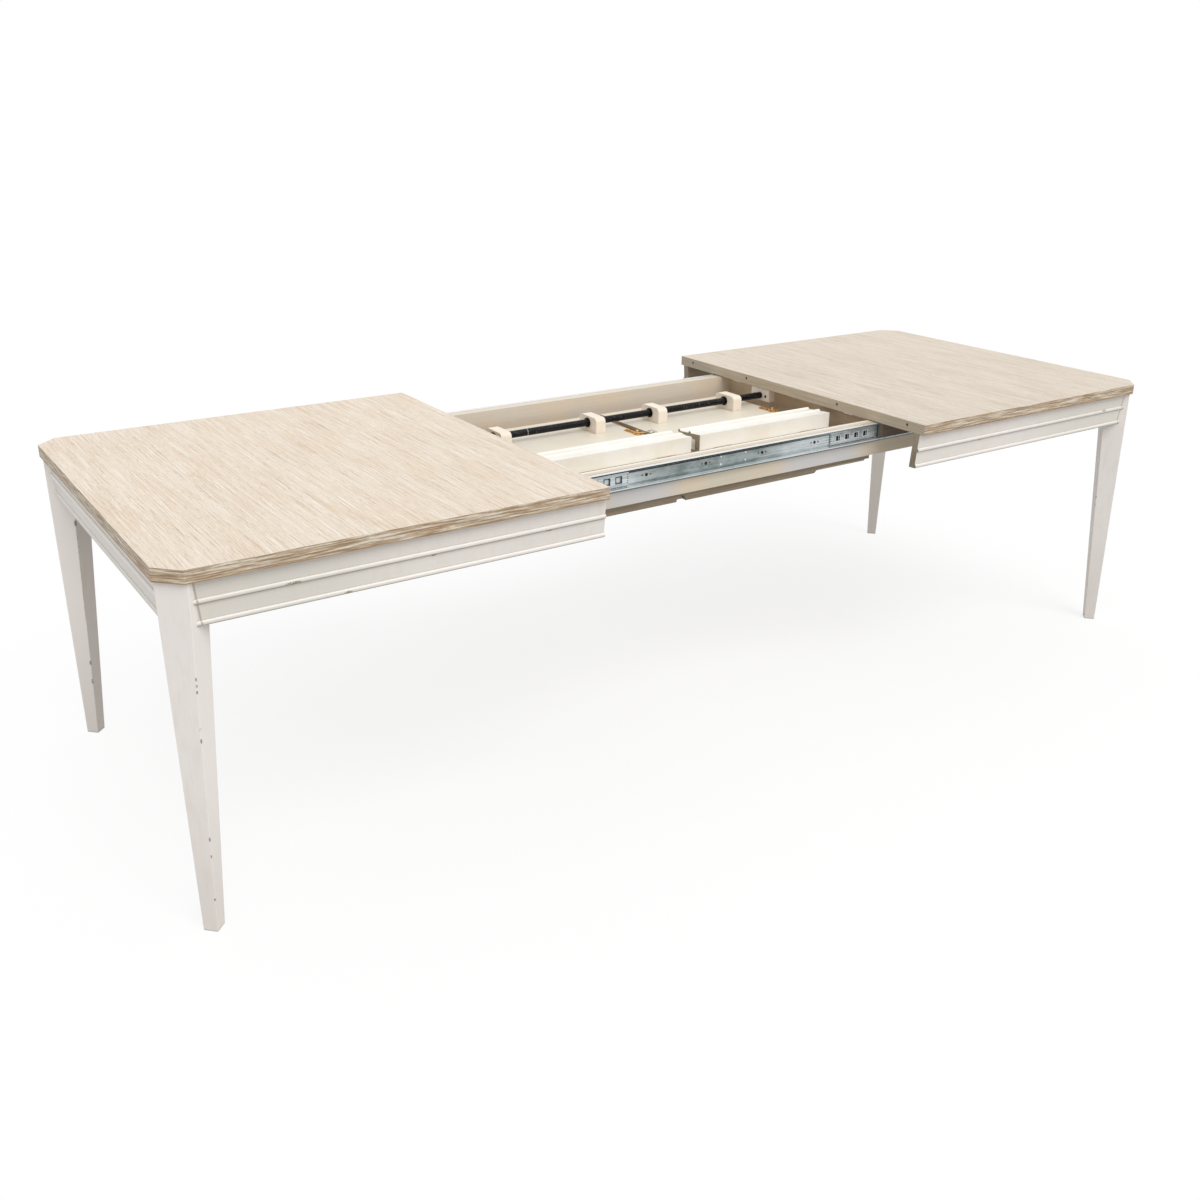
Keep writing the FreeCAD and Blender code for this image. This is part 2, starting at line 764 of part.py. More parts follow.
def half_fixings(hand, end):
    """Hanger bolts and member screws, the left half's pins and the right half's keepers."""
    fixings = [hanger_bolt(f"{hand}_hanger_{word}", end, side) for word, side in SIDES]
    for word, side in SIDES:
        for spot in member_screw_spots(end):
            under_head = f"{side} * (rail_outside + slide_thickness - slide_steel)"
            start = (spot, under_head, "slide_level")
            fixings.append(screw(f"{hand}_screw_{word}", start, "y", side))
        if end < 0:
            for spot in ("inner_pin_spot", "outer_pin_spot"):
                start = ("-gap_edge - pin_hole_depth", f"{side} * {spot}", "pin_level")
                fixings.append(rod(f"{hand}_pin", start, "pin_radius", "pin_hole_depth + pin_reach", "x"))
        if end > 0:
            raised = f"{side} * raised_finger_spot"
            fixings.append(keeper(f"{hand}_keeper_{word}", "gap_edge", raised, "underside", -1))
    return fixings


# Storage box: two long rails, two cross rails, deeper strips under the rails and a ledge
def build_box():
    for word, side in SIDES:
        middle = ("0", f"{side} * (box_inside + rail_thickness / 2)")
        size = ("rail_length", "rail_thickness", "rail_height")
        body = block(f"box_rail_{word}_board", middle, "rail_foot", size)
        holes = []
        for spot in SCREW_SPOTS:
            low = f"{side} * (rail_outside - rail_bite / 2) - rail_bite / 2"
            start = (spot, low, "slide_level")
            holes.append(rod("rail_hole", start, "screw_radius", "rail_bite", "y"))
        node(f"box_rail_{word}", cut(f"box_rail_{word}", body, holes))
        channel(f"slide_channel_{word}", side)
        under_strip(f"box_strip_{word}", side)
    for hand, end in ENDS:
        middle = (f"{end} * (cross_rail_face + cross_rail_thickness / 2)", "0")
        size = ("cross_rail_thickness", "box_inner_width", "rail_height")
        node(f"box_cross_rail_{hand}", block(f"box_cross_rail_{hand}", middle, "rail_foot", size))
    ledge_middle = ("0", "ledge_width / 2 - box_inside")
    ledge_size = ("strip_length", "ledge_width", "ledge_thickness")
    ledge_foot = "lower_underside - ledge_gap - ledge_thickness"
    node("leaf_rest_ledge", block("leaf_rest_ledge", ledge_middle, ledge_foot, ledge_size))
    blocks = [rod_end_block(f"rod_end_block_{hand}", end) for hand, end in ENDS]
    node("rod_end_blocks", grouped("rod_end_blocks", blocks))
    start = ("rod_end_gap - cross_rail_face", "rod_spot", "rod_level")
    node("pivot_rod", rod("pivot_rod", start, "rod_radius", "2 * (cross_rail_face - rod_end_gap)", "x"))
    node("box_screws", grouped("box_screws", box_screws()))


def under_strip(name, side):
    """The strip under a rail, with a half-round notch and one shallower end."""
    low = "-strip_height"
    outline = [
        ("-strip_length / 2", low),
        ("strip_step_spot", low),
        ("strip_step_spot + strip_step", "strip_step - strip_height"),
        ("strip_length / 2", "strip_step - strip_height"),
        ("strip_length / 2", "0"),
        ("-strip_length / 2", "0"),
    ]
    body = padded(name + "_board", "XZ_Plane", outline, "strip_thickness")
    notch_start = ("-notch_spot", "-2 * strip_thickness", low)
    notch = rod(name + "_notch", notch_start, "notch_radius", "4 * strip_thickness", "y")
    strip = node(name, cut(name, body, [notch]))
    turn = FreeCAD.Rotation(UP, 0 if side < 0 else HALF_TURN)
    return place(strip, ("0", f"{side} * box_inside", "rail_foot"), turn)


def end_block_screw_spots():
    return [f"rod_spot + {way} * end_screw_offset" for way in (-1, 1)]


def rod_end_block(name, end):
    middle = (f"{end} * (cross_rail_face - end_block_thickness / 2)", "rod_spot")
    size = ("end_block_thickness", "end_block_width", "end_block_height")
    body = block(name + "_block", middle, "end_block_foot", size)
    low = f"{end} * cross_rail_face - end_block_thickness"
    through = "2 * end_block_thickness"
    bores = [rod(name + "_bore", (low, "rod_spot", "rod_level"), "rod_radius", through, "x")]
    for spot in end_block_screw_spots():
        bores.append(rod(name + "_hole", (low, spot, "rod_level"), "screw_radius", through, "x"))
    return cut(name, body, bores)


def box_screws():
    screws = []
    for word, side in SIDES:
        for spot in SCREW_SPOTS:
            start = (spot, f"{side} * (rail_outside + slide_steel)", "slide_level")
            screws.append(screw(f"channel_screw_{word}", start, "y", -side))
    for hand, end in ENDS:
        for spot in end_block_screw_spots():
            start = (f"{end} * (cross_rail_face - end_block_thickness)", spot, "rod_level")
            screws.append(screw(f"end_block_screw_{hand}", start, "x", end, "end_block_thickness"))
    return screws


# Leaves: two panels folded face to face, hung on the rod by blocks with bushes
def rod_block(name, spot):
    """A round-shouldered block on the leaf's underside, bored for its bush."""
    half = "rod_block_length / 2"
    outline = rectangle(f"-{half}", half, "0", "rod_block_height")
    body = padded(name + "_body", "YZ_Plane", outline, "rod_block_width")
    top = number("rod_block_height")

    def shoulder(edge):
        return edge.BoundBox.ZMin > top - TOLERANCE and edge.BoundBox.YLength < TOLERANCE

    rounded(body, "rod_block_round", shoulder)
    start = ("-rod_block_width", "0", "rod_level - leaf_underside")
    bore = rod(name + "_bore", start, "block_bore", "3 * rod_block_width", "x")
    result = cut(name, body, [bore])
    return place(result, (f"{spot} - rod_block_width / 2", "rod_spot", "leaf_underside"))


def bush(name, spot):
    """A flanged sleeve that turns in its block and slides on the rod."""
    left = f"{spot} - rod_block_width / 2"
    sleeve_start = (f"{left} - bush_flange_gap", "rod_spot", "rod_level")
    sleeve = rod(name + "_sleeve", sleeve_start, "bush_radius", "rod_block_width + bush_flange_gap", "x")
    flange_start = (f"{left} - bush_flange_gap - bush_flange_thickness", "rod_spot", "rod_level")
    flange = rod(name + "_flange", flange_start, "bush_flange_radius", "bush_flange_thickness", "x")
    bore_start = (f"{left} - rod_block_width", "rod_spot", "rod_level")
    bore = rod(name + "_bore", bore_start, "bush_bore", "3 * rod_block_width", "x")
    return cut(name, fused(name + "_body", [sleeve, flange]), [bore])


def fold_mortise(name, spot, low_level):
    """Room for one half of a fold hinge in the fold edge of a panel."""
    middle = (spot, "fold_line - fold_hinge_depth / 2")
    size = ("fold_hinge_width", "fold_hinge_depth", "fold_hinge_height")
    return block(name, middle, low_level, size)


def fold_hinge(name, spot):
    """Two brass blocks let into the fold edges, one in each panel, joined by a pin."""
    upper = fold_mortise(name + "_upper", spot, "fold_level")
    lower = fold_mortise(name + "_lower", spot, "lower_face - fold_hinge_height")
    pin_level = "fold_level - fold_gap / 2"
    pin_spot = (f"{spot} - fold_hinge_width / 2", "fold_line - fold_hinge_depth / 2", pin_level)
    bore = rod(name + "_bore", pin_spot, "fold_pin_radius + fold_pin_play", "fold_hinge_width", "x")
    pin = rod(name + "_pin", pin_spot, "fold_pin_radius", "fold_hinge_width", "x")
    upper_half = cut(name + "_upper_half", upper, [bore])
    lower_half = cut(name + "_lower_half", lower, [bore])
    return [upper_half, lower_half, pin]


def hinge_row(spot, index):
    """Where one knuckle of a flap hinge starts, counted from its left end."""
    return f"{spot} - hinge_length / 2 + {index} * knuckle"


def flap_hinge(name, spot, surface, way):
    """A butt hinge between a panel and its apron: the fixed wing with its pin, and the moving wing.

    way is 1 where the apron lies on top of the panel and -1 where it lies beneath.
    """
    axis_level = f"({surface} + {way} * flap_gap / 2)"
    axis = "flap_axis_spot"
    wing_middle = (spot, f"{axis} + barrel_recess + (hinge_reach - barrel_recess) / 2")
    wing_size = ("hinge_length", "hinge_reach - barrel_recess", "hinge_plate")
    fixed_level = f"{surface} - hinge_plate" if way > 0 else surface
    moving_level = f"{surface} + flap_gap" if way > 0 else f"{surface} - flap_gap - hinge_plate"
    fixed_wing = block(name + "_wing", wing_middle, fixed_level, wing_size)
    moving_wing = block(name + "_flap_wing", wing_middle, moving_level, wing_size)
    neck_length = "knuckle - hinge_play"
    neck_size = (neck_length, "barrel_recess", "hinge_plate")
    fixed_parts = [fixed_wing]
    for index in (0, 2):
        middle = f"{hinge_row(spot, index)} + knuckle / 2"
        neck_middle = (middle, f"{axis} + barrel_recess / 2")
        fixed_parts.append(block(name + "_neck", neck_middle, fixed_level, neck_size))
        start = (f"{middle} - ({neck_length}) / 2", axis, axis_level)
        fixed_parts.append(rod(name + "_knuckle", start, "hinge_barrel_radius", neck_length, "x"))
    pin_start = (hinge_row(spot, 0), axis, axis_level)
    fixed_parts.append(rod(name + "_pin", pin_start, "hinge_pin_radius", "hinge_length", "x"))
    neck_middle = (spot, f"{axis} + barrel_recess / 2")
    moving_neck = block(name + "_flap_neck", neck_middle, moving_level, neck_size)
    start = (f"{spot} - ({neck_length}) / 2", axis, axis_level)
    moving_knuckle = rod(name + "_flap_knuckle", start, "hinge_barrel_radius", neck_length, "x")
    bore = rod(name + "_flap_bore", pin_start, "hinge_pin_radius + hinge_pin_play", "hinge_length", "x")
    moving_parts = fused(name + "_flap_parts", [moving_wing, moving_neck, moving_knuckle])
    return fused(name + "_fixed", fixed_parts), cut(name + "_moving", moving_parts, [bore])


def flap_recess(name, spot, surface, way, into_flap):
    """Room for one hinge in the panel or in the apron that it joins."""
    axis_level = f"({surface} + {way} * flap_gap / 2)"
    length = "hinge_length + 2 * hinge_play"
    barrel_start = (f"{spot} - ({length}) / 2", "flap_axis_spot", axis_level)
    barrel = rod(name + "_barrel", barrel_start, "barrel_recess", length, "x")
    deep = "(hinge_plate + hinge_play)"
    towards_flap = (way > 0) == into_flap
    low = surface if towards_flap else f"{surface} - {deep}"
    if into_flap:
        low = f"{surface} + flap_gap - hinge_play" if way > 0 else f"{surface} - flap_gap - hinge_plate"
    middle = (spot, "flap_axis_spot + (hinge_reach + hinge_play) / 2")
    wing = block(name + "_wing", middle, low, (length, "hinge_reach + hinge_play", deep))
    return [barrel, wing]


def leaf_apron(name, middle, surface, way, hinge_spots):
    """The beaded apron of a leaf with its cleat, lying flat on the panel that it is hinged to."""
    backing = [
        ("apron_back + apron_cant", "apron_height"),
        ("apron_back + apron_cant * cleat_depth / apron_height", "cleat_depth"),
        ("flap_inset", "cleat_depth"),
        ("flap_inset", "0"),
    ]

    def spot(inward, drop):
        rise = f"(flap_gap + flap_inset - {inward})"
        return f"flap_face + {drop}", f"{surface} + {way} * {rise}"

    outline = apron_outline(spot, -way, backing)
    length = "leaf_width - 2 * flap_end_gap"
    body = padded(name + "_board", "YZ_Plane", outline, length)
    place(body, (f"{middle} - ({length}) / 2", "0", "0"))
    tools = []
    for hinge in hinge_spots:
        tools += flap_recess(name + "_recess", hinge, surface, way, True)
    return node(name, cut(name, body, tools))


def leaf_panel(name, middle, levels, fold_spots, recesses):
    """One panel of a leaf, drilled for pins at both ends and let in for its hinges.

    levels are its lowest level, that of its pins and that of its fold mortises.
    """
    foot, pin_level, fold_low = levels
    size = ("leaf_width", "leaf_length", "top_thickness")
    board = block(name + "_board", (middle, "fold_line - leaf_length / 2"), foot, size)
    tools = list(recesses)
    for spot in ("inner_pin_stored", "outer_pin_stored"):
        left = (f"{middle} - leaf_width / 2", spot, pin_level)
        tools.append(rod(name + "_hole", left, "pin_hole_radius", "pin_hole_depth", "x"))
        right = (f"{middle} + leaf_width / 2 - pin_hole_depth", spot, pin_level)
        tools.append(rod(name + "_seat", right, "pin_radius", "pin_hole_depth", "x"))
    for spot in fold_spots:
        tools.append(fold_mortise(name + "_mortise", spot, fold_low))
    return node(name, cut(name, board, tools))


def catch(name, middle):
    """The brass catch by the right end: a screwed plate with a rivet, and a lever that turns."""
    edge = f"({middle} + leaf_width / 2)"
    plate_middle = (f"{edge} - rivet_inset", "catch_spot")
    plate_size = ("catch_width", "catch_length", "catch_thickness")
    plate = block(name + "_base", plate_middle, "leaf_underside", plate_size)
    rivet_start = (f"{edge} - rivet_inset", "rivet_spot", "leaf_underside")
    rivet_length = "catch_thickness + lever_thickness + 2 * lever_gap"
    rivet = rod(name + "_rivet", rivet_start, "rivet_radius", rivet_length)
    cap_start = (f"{edge} - rivet_inset", "rivet_spot", f"leaf_underside + {rivet_length}")
    cap = rod(name + "_rivet_head", cap_start, "rivet_head_radius", "rivet_head_height")
    node(name + "_plate", fused(name + "_plate", [plate, rivet, cap]))
    boss = rod(name + "_boss", (*rivet_start[:2], "lever_foot"), "rivet_head_radius", "lever_thickness")
    bar_size = ("lever_width", "lever_length", "lever_thickness")
    bar_middle = (f"{edge} - rivet_inset", "rivet_spot - lever_length / 2")
    bar = block(name + "_bar", bar_middle, "lever_foot", bar_size)
    reach = "(rivet_inset + finger_reach)"
    finger_middle = (f"{edge} - rivet_inset + {reach} / 2", "finger_spot")
    finger = block(name + "_finger", finger_middle, "lever_foot", (reach, "lever_width", "lever_thickness"))
    hole = rod(name + "_hole", rivet_start, "rivet_radius + rivet_play", "2 * rivet_head_radius")
    parts = fused(name + "_lever_parts", [boss, bar, finger])
    node(name + "_lever", cut(name + "_lever", parts, [hole]))


def pins_and_keeper(name, middle):
    """The pins in a leaf's right end and the keeper plate at its left end."""
    pieces = []
    for level in ("fold_level + pin_drop", "lower_face - pin_drop"):
        for spot in ("inner_pin_stored", "outer_pin_stored"):
            start = (f"{middle} + leaf_width / 2 - pin_hole_depth", spot, level)
            pieces.append(rod(name + "_pin", start, "pin_radius", "pin_hole_depth + pin_reach", "x"))
    edge = f"({middle} - leaf_width / 2)"
    pieces.append(keeper(name + "_keeper", edge, "finger_spot", "leaf_underside", 1))
    return node(name, grouped(name, pieces))


def build_leaf(name, sign, outer_spot):
    middle = f"{sign} * leaf_middle"
    block_spots = [f"{sign} * {spot}" for spot in ("inner_block_spot", outer_spot)]
    fold_spots = [f"{sign} * {spot}" for spot in ("inner_fold_spot", "outer_fold_spot")]
    hinge_spots = [f"({middle} + {way} * hinge_spot)" for way in (-1, 1)]
    upper = []
    lower = []
    fixed = []
    moving = []
    for spot in hinge_spots:
        upper += flap_recess(name + "_upper_recess", spot, "leaf_underside", 1, False)
        lower += flap_recess(name + "_lower_recess", spot, "lower_underside", -1, False)
        wing, flap_wing = flap_hinge(name + "_upper_hinge", spot, "leaf_underside", 1)
        under_wing, under_flap_wing = flap_hinge(name + "_lower_hinge", spot, "lower_underside", -1)
        fixed += [wing, under_wing, under_flap_wing]
        moving.append(flap_wing)
    upper_levels = ("fold_level", "fold_level + pin_drop", "fold_level")
    leaf_panel(name + "_upper_panel", middle, upper_levels, fold_spots, upper)
    lower_levels = ("lower_underside", "lower_face - pin_drop", "lower_face - fold_hinge_height")
    leaf_panel(name + "_lower_panel", middle, lower_levels, fold_spots, lower)
    blocks = [rod_block(name + "_rod_block", spot) for spot in block_spots]
    node(name + "_rod_blocks", grouped(name + "_rod_blocks", blocks))
    bushes = [bush(name + "_bush", spot) for spot in block_spots]
    node(name + "_bushes", grouped(name + "_bushes", bushes))
    hinges = [piece for spot in fold_spots for piece in fold_hinge(name + "_fold_hinge", spot)]
    node(name + "_fold_hinges", grouped(name + "_fold_hinges", hinges))
    leaf_apron(name + "_upper_apron", middle, "leaf_underside", 1, hinge_spots)
    leaf_apron(name + "_lower_apron", middle, "lower_underside", -1, hinge_spots)
    node(name + "_apron_hinges", grouped(name + "_apron_hinges", fixed))
    node(name + "_apron_hinge_wings", grouped(name + "_apron_hinge_wings", moving))
    catch(name + "_catch", middle)
    pins_and_keeper(name + "_pins_and_keeper", middle)


build_box()
build_half("left", -1)
build_half("right", 1)
build_leaf("leaf_1", -1, "first_block_spot")
build_leaf("leaf_2", 1, "outer_block_spot")
doc.recompute()

# Nothing is written unless every object is sound
for item in doc.Objects:
    if "Invalid" in item.State or "Error" in item.State:
        raise RuntimeError(f"{item.Label} failed: {item.State}")
for item in nodes:
    if item.Shape.isNull() or not item.Shape.isValid():
        raise RuntimeError(f"{item.Label} has no valid shape")

os.makedirs("parts", exist_ok=True)
for item in nodes:
    item.Shape.exportStep(f"parts/{item.Label}.step")
    print(item.Label, len(item.Shape.Solids), round(item.Shape.Volume))
print(len(nodes), "nodes")
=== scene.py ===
import bmesh
import bpy
import math
from mathutils import Matrix, Vector


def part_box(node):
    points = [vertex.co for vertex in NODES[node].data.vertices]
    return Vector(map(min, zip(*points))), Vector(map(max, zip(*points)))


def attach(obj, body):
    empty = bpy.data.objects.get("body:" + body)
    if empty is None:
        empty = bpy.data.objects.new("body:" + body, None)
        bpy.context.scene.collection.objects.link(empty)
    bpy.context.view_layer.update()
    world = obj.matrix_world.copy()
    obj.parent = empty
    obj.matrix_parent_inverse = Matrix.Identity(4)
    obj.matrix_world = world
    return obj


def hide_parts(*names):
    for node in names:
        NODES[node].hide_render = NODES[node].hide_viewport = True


# Extending dining table, its two halves pulled apart over the box that holds the folded
# leaves. Metres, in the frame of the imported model: X along the table, -Y the near side.
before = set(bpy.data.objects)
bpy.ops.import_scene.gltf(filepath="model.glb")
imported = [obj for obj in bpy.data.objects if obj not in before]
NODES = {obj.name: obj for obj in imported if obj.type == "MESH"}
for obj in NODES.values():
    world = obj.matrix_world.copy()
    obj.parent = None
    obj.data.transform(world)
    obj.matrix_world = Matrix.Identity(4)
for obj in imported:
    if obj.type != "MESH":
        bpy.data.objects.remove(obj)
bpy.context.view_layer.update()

# Table tops
# Each half's top is a limed oak veneer with the grain across the table and solid edge
# bands. The gap edge and the underside are only sealed, and the band is brushed and limed.
VENEER_LIGHT = (252, 244, 232)
VENEER_MID = (234, 220, 202)
VENEER_DARK = (190, 163, 134)
VENEER_TAN = (228, 205, 179)
# The right half's greyer cast here and its darker shade below are painted shade on the same veneer
VENEER_GREY_PAINTED_SHADE = (219, 207, 187)
LEFT_SHADE = 0.925
RIGHT_PAINTED_SHADE = 0.835
BAND_LIMED = (203, 189, 168)
BAND_FLECK = (228, 218, 202)
BAND_TAN = (188, 166, 138)
BAND_BROWN = (142, 112, 80)
BAND_LINE_BROWN = (158, 122, 88)
SEALED = (196, 182, 160)
SEALED_DARK = (172, 157, 135)
# Painted shade for the inside of the pin holes in the gap edge
PIN_HOLE_PAINTED_SHADE = (34, 26, 20)
VENEER_ROUGHNESS = 0.5
GRAIN_DEPTH = 0.00009

# Grain and brush marks are noises: lengths along X, Y and Z, then detail, roughness, warp
GRAIN_LINE = ((0.0027, 0.190, 0.0027), 4, 0.80, 0.06)
GRAIN_PORE = ((0.0013, 0.030, 0.0013), 2, 0.7)
GRAIN_CLOUD = ((0.07, 0.28, 0.07), 3, 0.6, 0.3)
BAND_STREAK = ((0.075, 0.075, 0.0034), 3, 0.6, 0.10)
BAND_PORE = ((0.016, 0.016, 0.0012), 2, 0.6)
BAND_BLOTCH = ((0.12, 0.12, 0.007), 2, 0.5)
SEALER_STREAK = ((0.22, 0.22, 0.003), 3, 0.6, 0.3)

# Levels are where a coat starts and is full. Shares add how much of it shows at the two
HALF_LEVELS = (0.35, 0.65)
VENEER_CAST_SHARES = (0.40, 0.70, 0.0, 0.6)
LIMED_LINE_SHARES = (0.52, 0.64, 0.0, 0.85)
DARK_LINE_SHARES = (0.45, 0.35, 0.0, 0.75)
DARK_PORE_SHARES = (0.58, 0.70, 0.0, 0.65)
LIMED_PORE_SHARES = (0.42, 0.30, 0.0, 0.6)
VENEER_GLOSS_SHARES = (*HALF_LEVELS, 0.60, 0.48)
BAND_BROWN_SHARES = (0.50, 0.42, 0.0, 0.78)
BAND_FLECK_SHARES = (0.54, 0.61, 0.0, 0.95)
BAND_PORE_SHARES = (0.54, 0.66, 0.0, 0.5)
BAND_FOOT_LINE = (0.0008, 0.0034)
BAND_FOOT_SHARE = 0.75
SEALER_SHARES = (0.35, 0.7, 0.0, 0.7)
PIN_HOLE_REACH = 0.008
PIN_HOLE_LEVELS = (0.45, 0.80)
ARRIS_LINE = 0.0011
ARRIS_LEVELS = (0.01, 0.12)
ARRIS_SHARE = 0.7
FACING_LEVELS = (0.45, 0.75)
RIM_LEVELS = (0.02, 0.25)
RIM_SAMPLES = 4
HOLLOW_SAMPLES = 5
SPOT_CORE_SHARE = 0.6

# The steps from a colour as it is seen to the light that a shader works with
COLOUR_TOP = 255
DARK_SLOPE = 12.92
DARK_END = 0.04045
BRIGHT_LIFT = 0.055
BRIGHT_POWER = 2.4


def tone(colour, shade=1.0):
    """A colour written in 0 to 255 as a shader colour."""

    def linear(level):
        level = level / COLOUR_TOP
        if level <= DARK_END:
            return level / DARK_SLOPE
        return ((level + BRIGHT_LIFT) / (1 + BRIGHT_LIFT)) ** BRIGHT_POWER

    return (*(shade * linear(level) for level in colour), 1.0)


class Finish:
    """A surface finish being mixed: one material whose coats are nodes."""

    def __init__(self, name, roughness, **gloss):
        self.material = bpy.data.materials.new(name)
        self.material.use_nodes = True
        self.tree = self.material.node_tree
        self.shader = self.tree.nodes["Principled BSDF"]
        self.shader.inputs["Roughness"].default_value = roughness
        for socket, value in gloss.items():
            self.shader.inputs[socket.replace("_", " ").capitalize()].default_value = value
        where = self.tree.nodes.new("ShaderNodeTexCoord")
        self.spot = where.outputs["Object"]
        self.facing = self.add("SeparateXYZ", where.outputs["Normal"]).outputs
        self.along = self.add("SeparateXYZ", self.spot).outputs

    def add(self, kind, *values, **settings):
        """A node, its first inputs fed in order and its settings set."""
        node = self.tree.nodes.new("ShaderNode" + kind)
        for name, value in settings.items():
            setattr(node, name, value)
        for socket, value in zip(node.inputs, values):
            self.feed(socket, value)
        return node

    def feed(self, socket, value):
        """Link a value that varies, or set one that doesn't."""
        if isinstance(value, bpy.types.NodeSocket):
            self.tree.links.new(value, socket)
        elif value is not None:
            socket.default_value = value

    def sum(self, operation, first, second=None, third=None):
        """One step of arithmetic on values that vary over the surface."""
        return self.add("Math", first, second, third, operation=operation).outputs[0]

    def all(self, first, *others):
        """The product of shares: 1 only where each of them is."""
        for other in others:
            first = self.sum("MULTIPLY", first, other)
        return first

    def rest(self, share):
        """What a share leaves."""
        return self.sum("SUBTRACT", 1.0, share)

    def noise(self, lengths, detail=2.0, rough=0.5, warp=0.0):
        """Noise from 0 to 1 whose blotches have the given lengths along X, Y and Z."""
        scale = [1 / length for length in lengths]
        place = self.add("Mapping", self.spot, None, None, scale).outputs[0]
        node = self.add("TexNoise", place)
        settings = {"Scale": 1.0, "Detail": detail, "Roughness": rough, "Distortion": warp}
        for socket, value in settings.items():
            node.inputs[socket].default_value = value
        return node.outputs["Fac"]

    def ease(self, value, low, high, start=0.0, end=1.0):
        """A value's stretch from low to high as a smooth step from start to end."""
        node = self.add("MapRange", value, interpolation_type="SMOOTHSTEP")
        for index, level in enumerate((low, high, start, end), start=1):
            node.inputs[index].default_value = level
        return node.outputs[0]

    def blend(self, share, first, second):
        """One colour over another by share."""
        node = self.add("Mix", data_type="RGBA")
        for name, value in (("Factor_Float", share), ("A_Color", first), ("B_Color", second)):
            socket = next(item for item in node.inputs if item.identifier == name)
            self.feed(socket, value)
        return next(item for item in node.outputs if item.identifier == "Result_Color")

    def side(self, axis, way, levels=FACING_LEVELS):
        """1 where the surface faces along an axis, 0 elsewhere."""
        value = self.sum("MULTIPLY", self.facing["XYZ".index(axis)], float(way))
        return self.ease(value, *levels)

    def stretch(self, axis, middle, inner, outer):
        """1 within an inner reach of a place along an axis, easing to 0 at an outer one."""
        away = self.sum("ABSOLUTE", self.sum("SUBTRACT", self.along["XYZ".index(axis)], middle))
        return self.ease(away, inner, outer, 1.0, 0.0)

    def patch(self, spot, reach):
        """1 at a spot, 0 beyond its reach along X, Y and Z."""
        scale = [1 / length for length in reach]
        shift = [-middle / length for middle, length in zip(spot, reach)]
        place = self.add("Mapping", self.spot, shift, None, scale).outputs[0]
        away = self.add("VectorMath", place, operation="LENGTH").outputs["Value"]
        return self.ease(away, SPOT_CORE_SHARE, 1.0, 1.0, 0.0)

    def edge(self, radius, levels=RIM_LEVELS):
        """1 along the sharp edges of the piece, within a radius."""
        soft = self.add("Bevel", radius, samples=RIM_SAMPLES).outputs[0]
        true = self.add("NewGeometry").outputs["Normal"]
        match = self.add("VectorMath", soft, true, operation="DOT_PRODUCT").outputs["Value"]
        return self.ease(self.rest(match), *levels)

    def hollow(self, reach, levels):
        """1 in hollows and corners narrower than a reach, 0 in the open."""
        shade = self.add("AmbientOcclusion", samples=HOLLOW_SAMPLES)
        shade.inputs["Distance"].default_value = reach
        return self.ease(shade.outputs["AO"], *levels, 1.0, 0.0)

    def coat(self, colour, height=None, depth=0.0, roughness=None):
        """Join the mixed colour, relief and roughness to the shader."""
        self.feed(self.shader.inputs["Base Color"], colour)
        if roughness is not None:
            self.feed(self.shader.inputs["Roughness"], roughness)
        if height is not None:
            bump = self.add("Bump")
            bump.inputs["Distance"].default_value = depth
            self.feed(bump.inputs["Height"], height)
            self.feed(self.shader.inputs["Normal"], bump.outputs[0])
        return self.material


def wear(finish, *names):
    """Put a finish on CAD pieces."""
    for name in names:
        slots = NODES[name].data.materials
        slots.clear()
        slots.append(finish)


def oak_face(oak, shade, cast):
    """Limed open-pored veneer: fine lines along Y, short pores and clouds of another cast."""
    lines = oak.noise(*GRAIN_LINE)
    pores = oak.noise(*GRAIN_PORE)
    cloud = oak.noise(*GRAIN_CLOUD)
    colour = oak.blend(oak.ease(cloud, *VENEER_CAST_SHARES), tone(VENEER_MID, shade), tone(cast, shade))
    colour = oak.blend(oak.ease(lines, *LIMED_LINE_SHARES), colour, tone(VENEER_LIGHT, shade))
    colour = oak.blend(oak.ease(lines, *DARK_LINE_SHARES), colour, tone(VENEER_DARK, shade))
    colour = oak.blend(oak.ease(pores, *DARK_PORE_SHARES), colour, tone(VENEER_DARK, shade))
    colour = oak.blend(oak.ease(pores, *LIMED_PORE_SHARES), colour, tone(VENEER_LIGHT, shade))
    return colour, lines


def oak_band(oak, foot=None):
    """A solid band brushed open and limed: short streaks round the edge, a brown low line."""
    streaks = oak.noise(*BAND_STREAK)
    fine = oak.noise(*BAND_PORE)
    blotch = oak.noise(*BAND_BLOTCH)
    colour = oak.blend(oak.ease(blotch, *HALF_LEVELS), tone(BAND_TAN), tone(BAND_LIMED))
    colour = oak.blend(oak.ease(streaks, *BAND_BROWN_SHARES), colour, tone(BAND_BROWN))
    colour = oak.blend(oak.ease(streaks, *BAND_FLECK_SHARES), colour, tone(BAND_FLECK))
    colour = oak.blend(oak.ease(fine, *BAND_PORE_SHARES), colour, tone(BAND_BROWN))
    if foot is not None:
        line_low, line_high = (foot + rise for rise in BAND_FOOT_LINE)
        low = oak.ease(oak.along["Z"], line_low, line_high, BAND_FOOT_SHARE, 0.0)
        colour = oak.blend(low, colour, tone(BAND_LINE_BROWN))
    return colour, streaks


def sealed_board_colour(wood):
    """Bare board under a clear sealer, streaked level."""
    streaks = wood.noise(*SEALER_STREAK)
    return wood.blend(wood.ease(streaks, *SEALER_SHARES), tone(SEALED), tone(SEALED_DARK))


